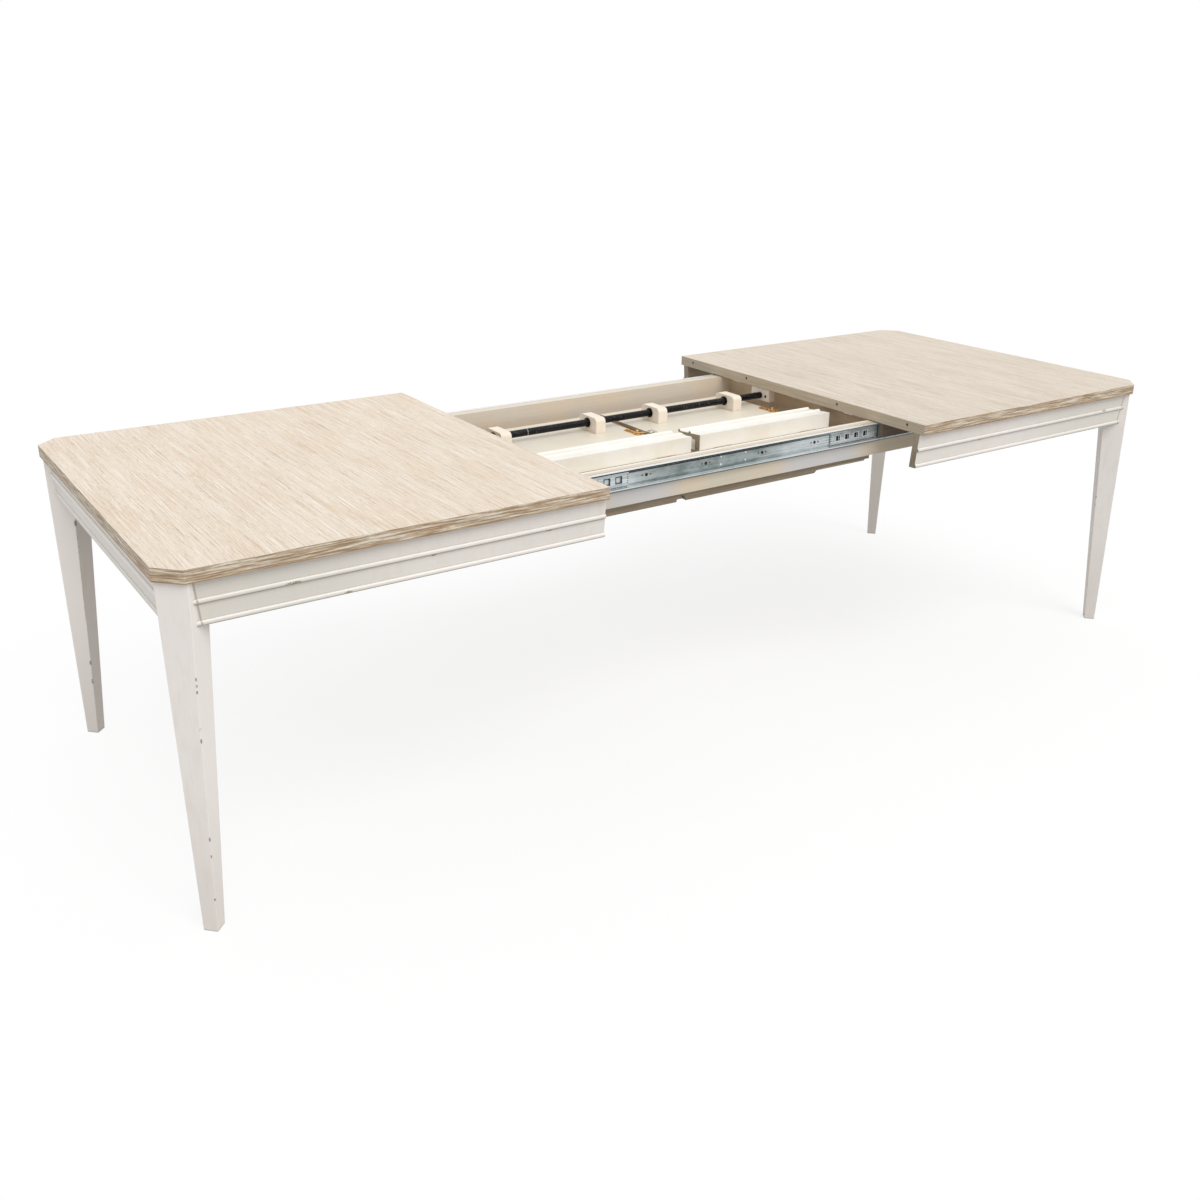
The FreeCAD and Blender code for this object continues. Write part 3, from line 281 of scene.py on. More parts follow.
def oak_top(name, sealed_way, shade, cast, foot):
    """Veneer on the upper side, bands round it, sealer on the gap edge and beneath, painted shade in its
    pin holes.
    """
    oak = Finish(name, VENEER_ROUGHNESS)
    face_colour, lines = oak_face(oak, shade, cast)
    band_colour, streaks = oak_band(oak, foot)
    face = oak.side("Z", 1)
    colour = oak.blend(face, band_colour, face_colour)
    # Painted shade darkens the sealer inside the pin holes
    pin_hole_shade_mask = oak.hollow(PIN_HOLE_REACH, PIN_HOLE_LEVELS)
    sealer = oak.blend(pin_hole_shade_mask, sealed_board_colour(oak), tone(PIN_HOLE_PAINTED_SHADE))
    bare = oak.sum("MAXIMUM", oak.side("Z", -1), oak.side("X", sealed_way))
    rim = oak.edge(ARRIS_LINE, ARRIS_LEVELS)
    colour = oak.blend(oak.all(rim, ARRIS_SHARE), colour, tone(BAND_LINE_BROWN, shade))
    colour = oak.blend(bare, colour, sealer)
    relief = oak.blend(face, streaks, lines)
    return oak.coat(colour, relief, GRAIN_DEPTH, oak.ease(lines, *VENEER_GLOSS_SHARES))


top_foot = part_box("left_top")[0][2]
wear(oak_top("limed_oak_left", 1, LEFT_SHADE, VENEER_TAN, top_foot), "left_top")
# The right half is painted darker and greyer than the left: painted shade
wear(oak_top("limed_oak_right", -1, RIGHT_PAINTED_SHADE, VENEER_GREY_PAINTED_SHADE, top_foot), "right_top")

# Legs and aprons
# Poplar under a warm off-white paint, brushed on, glazed in the hollows where painted shade lies too, and
# rubbed through to the wood in a few spots along the leg arrises and the apron beads. Painted highlights
# and shade are mixed into its colour.
PAINT = (246, 239, 234)
PAINT_COOL = (240, 237, 232)
PAINT_SHADE = (234, 222, 213)
# Pale brush marks, and also the painted highlight on upward faces and arrises
PAINT_BRUSH_AND_HIGHLIGHT = (253, 250, 245)
# Painted shade on the legs, then painted light on the legs and on the end aprons' bead
LEG_PAINTED_SHADE = (214, 205, 196)
PAINTED_LIGHT_PALE = (254, 248, 242)
PAINT_SHADOW = (214, 209, 198)
# Glazing colour, also the painted shade in hollows, under the beads and at the leg joints
GLAZE_AND_SHADE = (138, 127, 114)
GOLDEN_WOOD = (190, 166, 130)
SEALED_INSIDE = (150, 136, 116)
BARE_WOOD = (112, 92, 74)
BARE_LIGHT = (172, 130, 94)
UNDERCOAT = (160, 146, 130)
CUT_END = (168, 155, 135)
CUT_END_DARK = (138, 124, 104)
PAINT_ROUGHNESS = 0.42
PAINT_DEPTH = 0.00006
BRUSH_RELIEF_SHARE = 0.6
CHIP_RELIEF = 4.0
WORN_GLOSS_SHARES = (0.0, 1.0, 0.40, 0.75)
UPRIGHT_BRUSH = ((0.0022, 0.0022, 0.14), 3, 0.6)
LEVEL_BRUSH = ((0.14, 0.14, 0.0022), 3, 0.6)
PAINT_CLOUD = ((0.11, 0.11, 0.11), 3, 0.55)
PAINT_MOTTLE = ((0.016, 0.016, 0.060), 3, 0.6)
COOL_SHARES = (0.35, 0.70, 0.0, 0.6)
MOTTLE_SHARES = (0.45, 0.70, 0.0, 0.35)
BRUSH_SHARES = (0.50, 0.75, 0.0, 0.20)
FAR_LEVELS = (-0.1, 0.1)
LEG_FACE_LEVELS = (0.2, 0.5)
# Shares of painted light and shade on the legs' faces and towards their feet
LIT_FACE_SHARE = 0.9
SHADED_FACE_SHARE = 0.45
FOOT_SHADE_SHARE = 0.45
FOOT_SHADE_HEIGHT = 0.42
UPWARD_LEVELS = (0.45, 0.90)
UPWARD_HIGHLIGHT_SHARE = 0.8
DOWNWARD_LEVELS = (0.20, 0.60)
DOWNWARD_SHADE_SHARE = 0.85
GLAZE_AND_SHADE_REACH = 0.0045
GLAZE_AND_SHADE_LEVELS = (0.45, 0.92)
GLAZE_AND_SHADE_SHARE = 0.72
RUB_RADIUS = 0.0030
RIM_HIGHLIGHT_SHARE = 0.45
RUB_PATCH = ((0.06, 0.06, 0.06), 2, 0.6)
RUB_PATCH_LEVELS = (0.66, 0.72)
RUB_CRUMB_LEVELS = (0.52, 0.58)

# The near and far aprons get a painted shadow line where they meet their legs, and painted shade
# deepening towards those ends
JOINT_INSET = 0.0035
JOINT_SHADOW_LINE = (0.0012, 0.0026)
JOINT_SLANT = 0.11
JOINT_SHADOW_SHARE = 0.75
END_SHADE_REACH = (0.02, 0.50)
END_SHADE_SHARES = (0.0, 1.0, 0.35, 0.68)
INSIDE_LEVELS = (-0.12, -0.24)

# The end aprons get painted shade, but for a painted highlight on the top of their lower bead
END_BOARD_SHADOW_SHARE = 0.40
LOWER_BEAD_HIGHLIGHT = (0.6925, 0.0022, 0.0040)
LOWER_BEAD_HIGHLIGHT_SHARE = 0.9
GOLDEN_EDGE_SHARES = (0.6440, 0.6480, 0.8, 0.0)

# Chips down to the wood, each a spot and its reach, and a long rub on the left far leg
CHIP_GRAIN = (0.0034, 0.0034, 0.0052)
CHIP_CRUMBS = (CHIP_GRAIN, 4, 0.75)
CHIP_LEVELS = (0.43, 0.50)
BARE_WOOD_LEVELS = (0.4, 0.6)
THIN_PAINT = ((0.01, 0.01, 0.03), 3, 0.7)
THIN_PAINT_SHARES = (0.35, 0.55, 0.45, 1.0)
THIN_RIM_LEVELS = (0.005, 0.05)
LEG_CHIP = (0.0033, 0.0033, 0.0044)
LONG_CHIP = (0.0030, 0.0030, 0.0064)
BEAD_CHIP = (0.011, 0.010, 0.0026)
LEFT_LEG_CHIPS = [
    ((-1.3844, -0.5036, 0.547), LEG_CHIP),
    ((-1.3847, -0.5034, 0.533), LEG_CHIP),
    ((-1.3850, -0.5033, 0.521), LEG_CHIP),
    ((-1.3869, -0.5024, 0.445), LEG_CHIP),
    ((-1.3875, -0.5021, 0.421), LONG_CHIP),
    ((-1.3928, -0.4997, 0.210), LONG_CHIP),
    ((-1.3937, -0.4993, 0.172), LEG_CHIP),
    ((-1.3962, -0.4981, 0.074), LEG_CHIP),
    ((-1.3838, 0.4198, 0.572), (0.0050, 0.0050, 0.0100)),
    ((-1.3930, 0.4425, 0.200), (0.0042, 0.0042, 0.0080)),
    ((-1.3944, 0.4457, 0.148), (0.0042, 0.0042, 0.0090)),
]
LEFT_LEG_RUB = ((-1.3870, 0.4280, 0.440), (0.014, 0.020, 0.190))
RIGHT_LEG_CHIPS = [((1.3517, -0.4659, 0.407), LEG_CHIP), ((1.3533, -0.4665, 0.381), LEG_CHIP)]
LEFT_APRON_CHIPS = [
    ((-1.188, -0.496, 0.690), (0.019, 0.010, 0.0034)),
    ((-1.081, -0.492, 0.6465), (0.010, 0.010, 0.0028)),
    ((-0.900, -0.496, 0.685), BEAD_CHIP),
    ((-0.631, -0.496, 0.6855), (0.012, 0.010, 0.0026)),
]
RIGHT_APRON_CHIPS = [((0.7325, -0.496, 0.686), BEAD_CHIP), ((1.2773, -0.496, 0.694), BEAD_CHIP)]
HALF_CHIPS = {
    "left": (LEFT_LEG_CHIPS, LEFT_LEG_RUB, LEFT_APRON_CHIPS),
    "right": (RIGHT_LEG_CHIPS, None, RIGHT_APRON_CHIPS),
}


def leg_light(paint, colour):
    """Painted light and shade: paler where a leg faces the light, darker on the far legs' inner faces and
    towards the feet.
    """
    far = paint.ease(paint.along["Y"], *FAR_LEVELS)
    near = paint.rest(far)
    toward_middle = paint.side("X", 1, LEG_FACE_LEVELS)
    away_from_middle = paint.side("X", -1, LEG_FACE_LEVELS)
    colour = paint.blend(paint.all(away_from_middle, far), colour, tone(PAINTED_LIGHT_PALE))
    colour = paint.blend(paint.all(toward_middle, near, LIT_FACE_SHARE), colour, tone(PAINTED_LIGHT_PALE))
    colour = paint.blend(paint.all(toward_middle, far, SHADED_FACE_SHARE), colour, tone(LEG_PAINTED_SHADE))
    foot_shade = paint.ease(paint.along["Z"], 0.0, FOOT_SHADE_HEIGHT, FOOT_SHADE_SHARE, 0.0)
    return paint.blend(foot_shade, colour, tone(LEG_PAINTED_SHADE))


def end_board_light(paint, colour):
    """An end apron under painted shade, with a painted highlight on the top of its lower bead and a
    golden low edge.
    """
    colour = paint.blend(END_BOARD_SHADOW_SHARE, colour, tone(PAINT_SHADOW))
    bead_highlight = paint.stretch("Z", *LOWER_BEAD_HIGHLIGHT)
    colour = paint.blend(paint.all(bead_highlight, LOWER_BEAD_HIGHLIGHT_SHARE), colour, tone(PAINTED_LIGHT_PALE))
    low_edge = paint.ease(paint.along["Z"], *GOLDEN_EDGE_SHARES)
    return paint.blend(low_edge, colour, tone(GOLDEN_WOOD))


def painted_joint_shadow(paint, joint_end):
    """The slanted painted shadow line where an apron meets its leg."""
    slant = paint.all(paint.along["Z"], math.copysign(JOINT_SLANT, -joint_end))
    away = paint.sum("SUBTRACT", paint.sum("ADD", paint.along["X"], slant), joint_end)
    away = paint.sum("ABSOLUTE", away)
    return paint.ease(away, *JOINT_SHADOW_LINE, JOINT_SHADOW_SHARE, 0.0)


def distressed_paint(name, brush_marks, cut_way=None, chips=(), rub=None, joint_end=None, inward=None):
    """Brushed paint, glazed and in painted shade in its hollows and on downward faces, with painted
    highlights on upward faces and arrises, and chips down to the wood.

    inward is the axis towards the table's middle for an apron's board, None for legs.
    """
    paint = Finish(name, PAINT_ROUGHNESS)
    brush = paint.noise(*brush_marks)
    cloud = paint.noise(*PAINT_CLOUD)
    mottle = paint.noise(*PAINT_MOTTLE)
    colour = paint.blend(paint.ease(cloud, *COOL_SHARES), tone(PAINT), tone(PAINT_COOL))
    colour = paint.blend(paint.ease(mottle, *MOTTLE_SHARES), colour, tone(PAINT_SHADE))
    colour = paint.blend(paint.ease(brush, *BRUSH_SHARES), colour, tone(PAINT_BRUSH_AND_HIGHLIGHT))
    if inward is None:
        colour = leg_light(paint, colour)
    # Painted shade over the whole apron, deeper towards its leg end
    if joint_end is not None:
        shaded = paint.ease(paint.stretch("X", joint_end, *END_SHADE_REACH), *END_SHADE_SHARES)
        colour = paint.blend(shaded, colour, tone(PAINT_SHADOW))
    if inward == "X":
        colour = end_board_light(paint, colour)
    # Painted highlight on upward faces, such as the tops of the beads
    upward = paint.side("Z", 1, UPWARD_LEVELS)
    colour = paint.blend(paint.all(upward, UPWARD_HIGHLIGHT_SHARE), colour, tone(PAINT_BRUSH_AND_HIGHLIGHT))
    # Painted shade on downward faces and in hollows, mixed with the glazing there
    downward = paint.side("Z", -1, DOWNWARD_LEVELS)
    hollows = paint.hollow(GLAZE_AND_SHADE_REACH, GLAZE_AND_SHADE_LEVELS)
    glaze_and_shade = paint.sum("MAXIMUM", hollows, paint.all(downward, DOWNWARD_SHADE_SHARE))
    if joint_end is not None:
        glaze_and_shade = paint.sum("MAXIMUM", glaze_and_shade, painted_joint_shadow(paint, joint_end))
    colour = paint.blend(paint.all(glaze_and_shade, GLAZE_AND_SHADE_SHARE), colour, tone(GLAZE_AND_SHADE))
    rim = paint.edge(RUB_RADIUS)
    # Painted highlight along the open arrises
    open_rim_highlight = paint.all(rim, paint.rest(glaze_and_shade))
    colour = paint.blend(paint.all(open_rim_highlight, RIM_HIGHLIGHT_SHARE), colour, tone(PAINT_BRUSH_AND_HIGHLIGHT))
    patches = paint.noise(*RUB_PATCH)
    crumbs = paint.noise(*CHIP_CRUMBS)
    rubbed = paint.all(paint.ease(patches, *RUB_PATCH_LEVELS), paint.ease(crumbs, *RUB_CRUMB_LEVELS), rim)
    broken = paint.ease(crumbs, *CHIP_LEVELS)
    for spot, reach in chips:
        rubbed = paint.sum("MAXIMUM", rubbed, paint.all(paint.patch(spot, reach), broken))
    bare = paint.ease(paint.noise(CHIP_GRAIN), *BARE_WOOD_LEVELS)
    wood = paint.blend(bare, tone(BARE_WOOD), tone(UNDERCOAT))
    if rub is not None:
        worn = paint.all(paint.patch(*rub), paint.edge(RUB_RADIUS, THIN_RIM_LEVELS))
        thin = paint.ease(paint.noise(*THIN_PAINT), *THIN_PAINT_SHARES)
        colour = paint.blend(paint.all(worn, thin), colour, tone(BARE_LIGHT))
    colour = paint.blend(rubbed, colour, wood)
    if inward is not None:
        away = paint.sum("MULTIPLY", paint.facing[inward], paint.along[inward])
        inside = paint.blend(paint.ease(brush, *HALF_LEVELS), tone(SEALED_INSIDE), tone(SEALED_DARK))
        colour = paint.blend(paint.ease(away, *INSIDE_LEVELS), colour, inside)
    if cut_way is not None:
        end_grain = paint.blend(paint.ease(mottle, *HALF_LEVELS), tone(CUT_END), tone(CUT_END_DARK))
        colour = paint.blend(paint.side("X", cut_way), colour, end_grain)
    film = paint.sum("SUBTRACT", paint.all(brush, BRUSH_RELIEF_SHARE), paint.all(rubbed, CHIP_RELIEF))
    return paint.coat(colour, film, PAINT_DEPTH, paint.ease(rubbed, *WORN_GLOSS_SHARES))


for hand, gap_way in (("left", 1), ("right", -1)):
    leg_chips, leg_rub, apron_chips = HALF_CHIPS[hand]
    leg_finish = distressed_paint(hand + "_leg_paint", UPRIGHT_BRUSH, None, leg_chips, leg_rub)
    wear(leg_finish, hand + "_leg_near", hand + "_leg_far")
    apron_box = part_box(hand + "_apron_near")
    leg_end = apron_box[0 if hand == "left" else 1][0]
    inset = JOINT_SLANT * apron_box[1][2] + JOINT_INSET
    joint_end = leg_end - math.copysign(inset, leg_end)
    apron_finish = distressed_paint(
        hand + "_apron_paint", LEVEL_BRUSH, gap_way, apron_chips, None, joint_end, "Y")
    wear(apron_finish, hand + "_apron_near", hand + "_apron_far")
    wear(distressed_paint(hand + "_end_paint", LEVEL_BRUSH, inward="X"), hand + "_apron_end")

# Storage box
# The rails are poplar boards sprayed a warm grey, with a pale sanded top edge worn brown
# along its arrises. The strips under them are stained brown, and the ledge is bare.
RAIL_PAINT = (214, 204, 184)
RAIL_SKY_REFLECTION = (200, 203, 210)
RAIL_WARM = (222, 203, 178)
NEAR_TOP = (222, 214, 201)
NEAR_TOP_PALE = (242, 238, 226)
FAR_TOP = (218, 208, 191)
FAR_PAINT = (216, 205, 190)
CROSS_PAINT = (178, 154, 126)
RAIL_OUTER_LINE = (176, 144, 114)
RAIL_INNER_LINE = (118, 98, 78)
SLIDE_PAINTED_SHADOW = (128, 122, 114)
RAIL_GLUE_LINE = (216, 194, 168)
LEDGE_WOOD = (196, 178, 154)
STRIP_STAIN = (150, 134, 113)
STRIP_DARK = (112, 97, 80)
# Stained wood darkened as painted shade for the runners and corner blocks under the tops
RUNNER_WOOD_IN_PAINTED_SHADE = (116, 103, 88)
RUNNER_DARK_IN_PAINTED_SHADE = (86, 75, 62)
RAIL_ROUGHNESS = 0.36
RAIL_GRAIN = ((0.25, 0.25, 0.003), 3, 0.6, 0.3)
RAIL_CLOUD = ((0.14, 0.14, 0.05), 2)
RAIL_GRAIN_SHARES = (0.40, 0.70, 0.0, 0.28)
RAIL_GRAIN_SHADE = 0.72
RAIL_WARM_SHARES = (0.40, 0.65, 0.0, 0.6)
RAIL_GLOSS_SHARES = (0.2, 0.8, 0.30, 0.44)
RAIL_ARRIS_REACH = 0.0016
RAIL_ARRIS_SHARE = 0.5

# A painted reflection of the sky cools the near rail's outer face, and a painted shadow line runs under
# the slide
OUTER_FACE_SHARES = (-0.30, -0.28, 1.0, 0.0)
SKY_REFLECTION_PLACES = ((-0.28, 0.05, 0.14), (0.30, 0.08, 0.18))
SKY_REFLECTION_SHARE = 0.65
SLIDE_SHADOW_DROP = 0.0056
SLIDE_SHADOW_REACH = (0.0016, 0.0032)
SLIDE_SHADOW_SHARE = 0.95

# Lines along the top edges: half their width, how far in they lie and how broken they are
BROAD_LINE = 0.0034
PALE_LINE = 0.0030
FAR_OUTER_LINE = 0.0016
FAR_INNER_LINE = 0.0012
LINE_FADE = 0.0012
PALE_LINE_INSET = 0.0085
GLUE_LINE_INSET = 0.0110
LINE_BREAKS = ((0.05, 0.05, 0.05), 3)
LINE_BREAK_SHARES = (0.30, 0.55, 0.55, 1.0)

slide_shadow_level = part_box("slide_channel_near")[0][2] - SLIDE_SHADOW_DROP


def sprayed_rail(name, body, top_tone, lines=()):
    """Sprayed board: grain telegraphs through, lines run along its pale top edge, and its near outer face
    has a painted sky reflection and a painted shadow under the slide.
    """
    rail = Finish(name, RAIL_ROUGHNESS)
    grain = rail.noise(*RAIL_GRAIN)
    cloud = rail.noise(*RAIL_CLOUD)
    colour = rail.blend(rail.ease(grain, *RAIL_GRAIN_SHARES), tone(body), tone(body, RAIL_GRAIN_SHADE))
    colour = rail.blend(rail.ease(cloud, *RAIL_WARM_SHARES), colour, tone(RAIL_WARM))
    outer_face = rail.all(rail.side("Y", -1), rail.ease(rail.along["Y"], *OUTER_FACE_SHARES))
    for place in SKY_REFLECTION_PLACES:
        share = rail.all(rail.stretch("X", *place), outer_face, SKY_REFLECTION_SHARE)
        colour = rail.blend(share, colour, tone(RAIL_SKY_REFLECTION))
    slide_shadow = rail.stretch("Z", slide_shadow_level, *SLIDE_SHADOW_REACH)
    slide_shadow = rail.all(slide_shadow, outer_face, SLIDE_SHADOW_SHARE)
    colour = rail.blend(slide_shadow, colour, tone(SLIDE_PAINTED_SHADOW))
    top = rail.side("Z", 1)
    top_colour = tone(top_tone)
    flow = rail.ease(rail.noise(*LINE_BREAKS), *LINE_BREAK_SHARES)
    for middle, half, line_tone in lines:
        share = rail.all(rail.stretch("Y", middle, half, half + LINE_FADE), flow)
        top_colour = rail.blend(share, top_colour, tone(line_tone))
    colour = rail.blend(top, colour, top_colour)
    arris = rail.all(rail.edge(RAIL_ARRIS_REACH, ARRIS_LEVELS), RAIL_ARRIS_SHARE)
    colour = rail.blend(arris, colour, tone(RAIL_OUTER_LINE))
    return rail.coat(colour, grain, PAINT_DEPTH, rail.ease(grain, *RAIL_GLOSS_SHARES))


STAIN_ROUGHNESS = 0.5
STAIN_GRAIN = ((0.20, 0.20, 0.0028), 3, 0.65, 0.4)
STAIN_BLOTCH = ((0.08, 0.08, 0.02), 3, 0.6)
STAIN_GRAIN_SHARES = (*HALF_LEVELS, 0.0, 0.6)
STAIN_BLOTCH_SHARES = (0.45, 0.70, 0.0, 0.35)
STAIN_BLOTCH_SHADE = 1.25
STAIN_GLOSS_SHARES = (0.3, 0.7, 0.45, 0.58)
UNDERSIDE_SHADE_LEVELS = (0.2, 0.6)
UNDERSIDE_PAINTED_SHADE = 0.8
LOW_ARRIS_REACH = 0.0015
LOW_ARRIS_SHARE = 0.6
LOW_ARRIS_SHADE = 0.7


def stained_board(name, body, dark, low_line=False):
    """Stained or bare stock, darker along its grain; with low_line, painted shade on its downward faces
    and darker arrises.
    """
    board = Finish(name, STAIN_ROUGHNESS)
    grain = board.noise(*STAIN_GRAIN)
    blotch = board.noise(*STAIN_BLOTCH)
    colour = board.blend(board.ease(grain, *STAIN_GRAIN_SHARES), tone(body), tone(dark))
    colour = board.blend(board.ease(blotch, *STAIN_BLOTCH_SHARES), colour, tone(body, STAIN_BLOTCH_SHADE))
    if low_line:
        # Painted shade on the downward faces
        colour = board.blend(board.side("Z", -1, UNDERSIDE_SHADE_LEVELS), colour, tone(dark, UNDERSIDE_PAINTED_SHADE))
        arris = board.all(board.edge(LOW_ARRIS_REACH), LOW_ARRIS_SHARE)
        colour = board.blend(arris, colour, tone(dark, LOW_ARRIS_SHADE))
    return board.coat(colour, grain, GRAIN_DEPTH, board.ease(grain, *STAIN_GLOSS_SHARES))


near_low, near_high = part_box("box_rail_near")
near_lines = (
    (near_high[1], BROAD_LINE, RAIL_INNER_LINE),
    (near_high[1] - PALE_LINE_INSET, PALE_LINE, NEAR_TOP_PALE),
    (near_low[1] + GLUE_LINE_INSET, BROAD_LINE, RAIL_GLUE_LINE),
    (near_low[1], BROAD_LINE, RAIL_OUTER_LINE),
)
far_lines = (
    (-near_low[1], FAR_OUTER_LINE, RAIL_OUTER_LINE),
    (-near_high[1], FAR_INNER_LINE, RAIL_OUTER_LINE),
)
wear(sprayed_rail("near_rail_paint", RAIL_PAINT, NEAR_TOP, near_lines), "box_rail_near")
wear(sprayed_rail("far_rail_paint", FAR_PAINT, FAR_TOP, far_lines), "box_rail_far")
cross_finish = sprayed_rail("cross_rail_paint", CROSS_PAINT, CROSS_PAINT)
wear(cross_finish, "box_cross_rail_left", "box_cross_rail_right")
wear(stained_board("strip_stain", STRIP_STAIN, STRIP_DARK, True), "box_strip_near", "box_strip_far")
wear(stained_board("ledge_wood", LEDGE_WOOD, SEALED), "leaf_rest_ledge")
# The runners and corner blocks take stained wood in painted shade
runner_shaded_finish = stained_board("runner_wood_painted_shade", RUNNER_WOOD_IN_PAINTED_SHADE, RUNNER_DARK_IN_PAINTED_SHADE)
for hand in ("left", "right"):
    wear(runner_shaded_finish, hand + "_runners", hand + "_corner_blocks")

# Leaves
# A folded leaf shows the cream sprayed underside of its upper panel. The veneer faces lie
# inside the fold with limed bands round them. The hinged aprons and the blocks that are
# screwed down for the rod are sprayed too, and the sawn ends of the aprons are bare.
LEAVES = ("leaf_1", "leaf_2")
CREAM = (231, 223, 206)
CREAM_WARM = (226, 214, 193)
FLAP_WHITE = (248, 246, 240)
FLAP_WARM = (238, 231, 216)
BLOCK_CREAM = (243, 231, 216)
BLOCK_WARM = (238, 224, 201)
SAWN_END = (172, 160, 138)
SPRAY_ROUGHNESS = 0.4
SPRAY_PEEL = ((0.004, 0.004, 0.004), 2)
SPRAY_CLOUD = ((0.11, 0.16, 0.11), 3, 0.6)
SPRAY_SPECKS = ((0.0022, 0.0022, 0.0022), 2, 0.6)
SPRAY_WARM_SHARES = (0.38, 0.70, 0.0, 0.6)
SPECK_SHARES = (0.70, 0.78, 0.0, 0.35)
SPECK_SHADE = 0.7
CORNER_DARK_REACH = 0.012
CORNER_DARK_LEVELS = (0.30, 0.85)
CORNER_DARK_SHARE = 0.45
CORNER_DARK_SHADE = 0.62
SPRAY_RIM_REACH = 0.0014
SPRAY_RIM_SHARE = 0.30
SPRAY_RIM_SHADE = 0.80
SPRAY_GLOSS_SHARES = (0.3, 0.7, 0.34, 0.44)
SAW_MARKS = ((0.01, 0.006, 0.0015), 3, 0.6)
PANEL_ROUGHNESS = 0.42
PANEL_GLOSS_SHARES = (0.3, 0.7, 0.36, 0.46)


def cream_coat(cream, body, warm):
    """Satin lacquer, a little orange-peeled, yellower here and there, darker in its corners."""
    peel = cream.noise(*SPRAY_PEEL)
    cloud = cream.noise(*SPRAY_CLOUD)
    specks = cream.noise(*SPRAY_SPECKS)
    colour = cream.blend(cream.ease(cloud, *SPRAY_WARM_SHARES), tone(body), tone(warm))
    colour = cream.blend(cream.ease(specks, *SPECK_SHARES), colour, tone(warm, SPECK_SHADE))
    corner_dark = cream.all(cream.hollow(CORNER_DARK_REACH, CORNER_DARK_LEVELS), CORNER_DARK_SHARE)
    colour = cream.blend(corner_dark, colour, tone(warm, CORNER_DARK_SHADE))
    rim = cream.all(cream.edge(SPRAY_RIM_REACH), SPRAY_RIM_SHARE)
    return cream.blend(rim, colour, tone(warm, SPRAY_RIM_SHADE)), peel


def cream_spray(name, body, warm, sawn_ends=False):
    """Sprayed pieces, some with bare sawn ends."""
    cream = Finish(name, SPRAY_ROUGHNESS)
    colour, peel = cream_coat(cream, body, warm)
    if sawn_ends:
        ends = cream.sum("MAXIMUM", cream.side("X", 1), cream.side("X", -1))
        saw = cream.noise(*SAW_MARKS)
        bare = cream.blend(cream.ease(saw, *HALF_LEVELS), tone(SAWN_END), tone(SEALED_DARK))
        colour = cream.blend(ends, colour, bare)
    return cream.coat(colour, peel, PAINT_DEPTH, cream.ease(peel, *SPRAY_GLOSS_SHARES))


def leaf_finish(name, veneer_way):
    """Veneer on one face of a panel, cream lacquer on the other and limed bands between."""
    panel = Finish(name, PANEL_ROUGHNESS)
    face_colour, lines = oak_face(panel, LEFT_SHADE, VENEER_TAN)
    band_colour, streaks = oak_band(panel)
    cream_colour, peel = cream_coat(panel, CREAM, CREAM_WARM)
    veneered = panel.side("Z", veneer_way)
    sprayed = panel.side("Z", -veneer_way)
    colour = panel.blend(veneered, band_colour, face_colour)
    colour = panel.blend(sprayed, colour, cream_colour)
    relief = panel.blend(sprayed, panel.blend(veneered, streaks, lines), peel)
    return panel.coat(colour, relief, PAINT_DEPTH, panel.ease(peel, *PANEL_GLOSS_SHARES))


flap_finish = cream_spray("flap_lacquer", FLAP_WHITE, FLAP_WARM, True)
block_finish = cream_spray("block_lacquer", BLOCK_CREAM, BLOCK_WARM)
upper_finish = leaf_finish("upper_panel_faces", -1)
lower_finish = leaf_finish("lower_panel_faces", 1)
for leaf in LEAVES:
    wear(upper_finish, leaf + "_upper_panel")
    wear(lower_finish, leaf + "_lower_panel")
    wear(flap_finish, leaf + "_upper_apron", leaf + "_lower_apron")
    wear(block_finish, leaf + "_rod_blocks")
wear(block_finish, "rod_end_blocks")

# Pivot rod and bushes
# A steel tube with a glossy black coat runs through the blocks of both leaves, which turn
# on black flanged bushes. The coat is rubbed where the bushes slide.
ROD_BLACK = (9, 9, 11)
ROD_GREY = (40, 40, 44)
ROD_MARK = (122, 116, 110)
ROD_ROUGHNESS = 0.22
ROD_WRINKLE = 0.0005
BUSH_ROUGHNESS = 0.38
BUSH_WRINKLE = 0.0001
BLACK_SPECULAR = 0.22
BLACK_FOLDS = ((0.006, 0.003, 0.003), 4, 0.7, 0.8)
BLACK_RUBS = ((0.045, 0.006, 0.006), 4, 0.7)
BLACK_MARKS = ((0.004, 0.012, 0.012), 3, 0.7)
RUB_SHARES = (0.54, 0.72, 0.0, 0.7)
MARK_SHARES = (0.62, 0.72, 0.0, 0.7)
FOLD_LEVELS = (0.3, 0.7)
DULL_FOLD = 0.16


def black_coat(name, roughness, wrinkle):
    """Black coat or plastic, finely wrinkled, greyed by rubbing and marked here and there."""
    coat = Finish(name, roughness)
    folds = coat.noise(*BLACK_FOLDS)
    rubs = coat.noise(*BLACK_RUBS)
    marks = coat.noise(*BLACK_MARKS)
    coat.shader.inputs["Specular IOR Level"].default_value = BLACK_SPECULAR
    colour = coat.blend(coat.ease(rubs, *RUB_SHARES), tone(ROD_BLACK), tone(ROD_GREY))
    colour = coat.blend(coat.ease(marks, *MARK_SHARES), colour, tone(ROD_MARK))
    gloss = coat.ease(folds, *FOLD_LEVELS, roughness, roughness + DULL_FOLD)
    return coat.coat(colour, folds, wrinkle, gloss)


wear(black_coat("rod_coat", ROD_ROUGHNESS, ROD_WRINKLE), "pivot_rod")
bush_finish = black_coat("bush_plastic", BUSH_ROUGHNESS, BUSH_WRINKLE)
for leaf in LEAVES:
    wear(bush_finish, leaf + "_bushes")

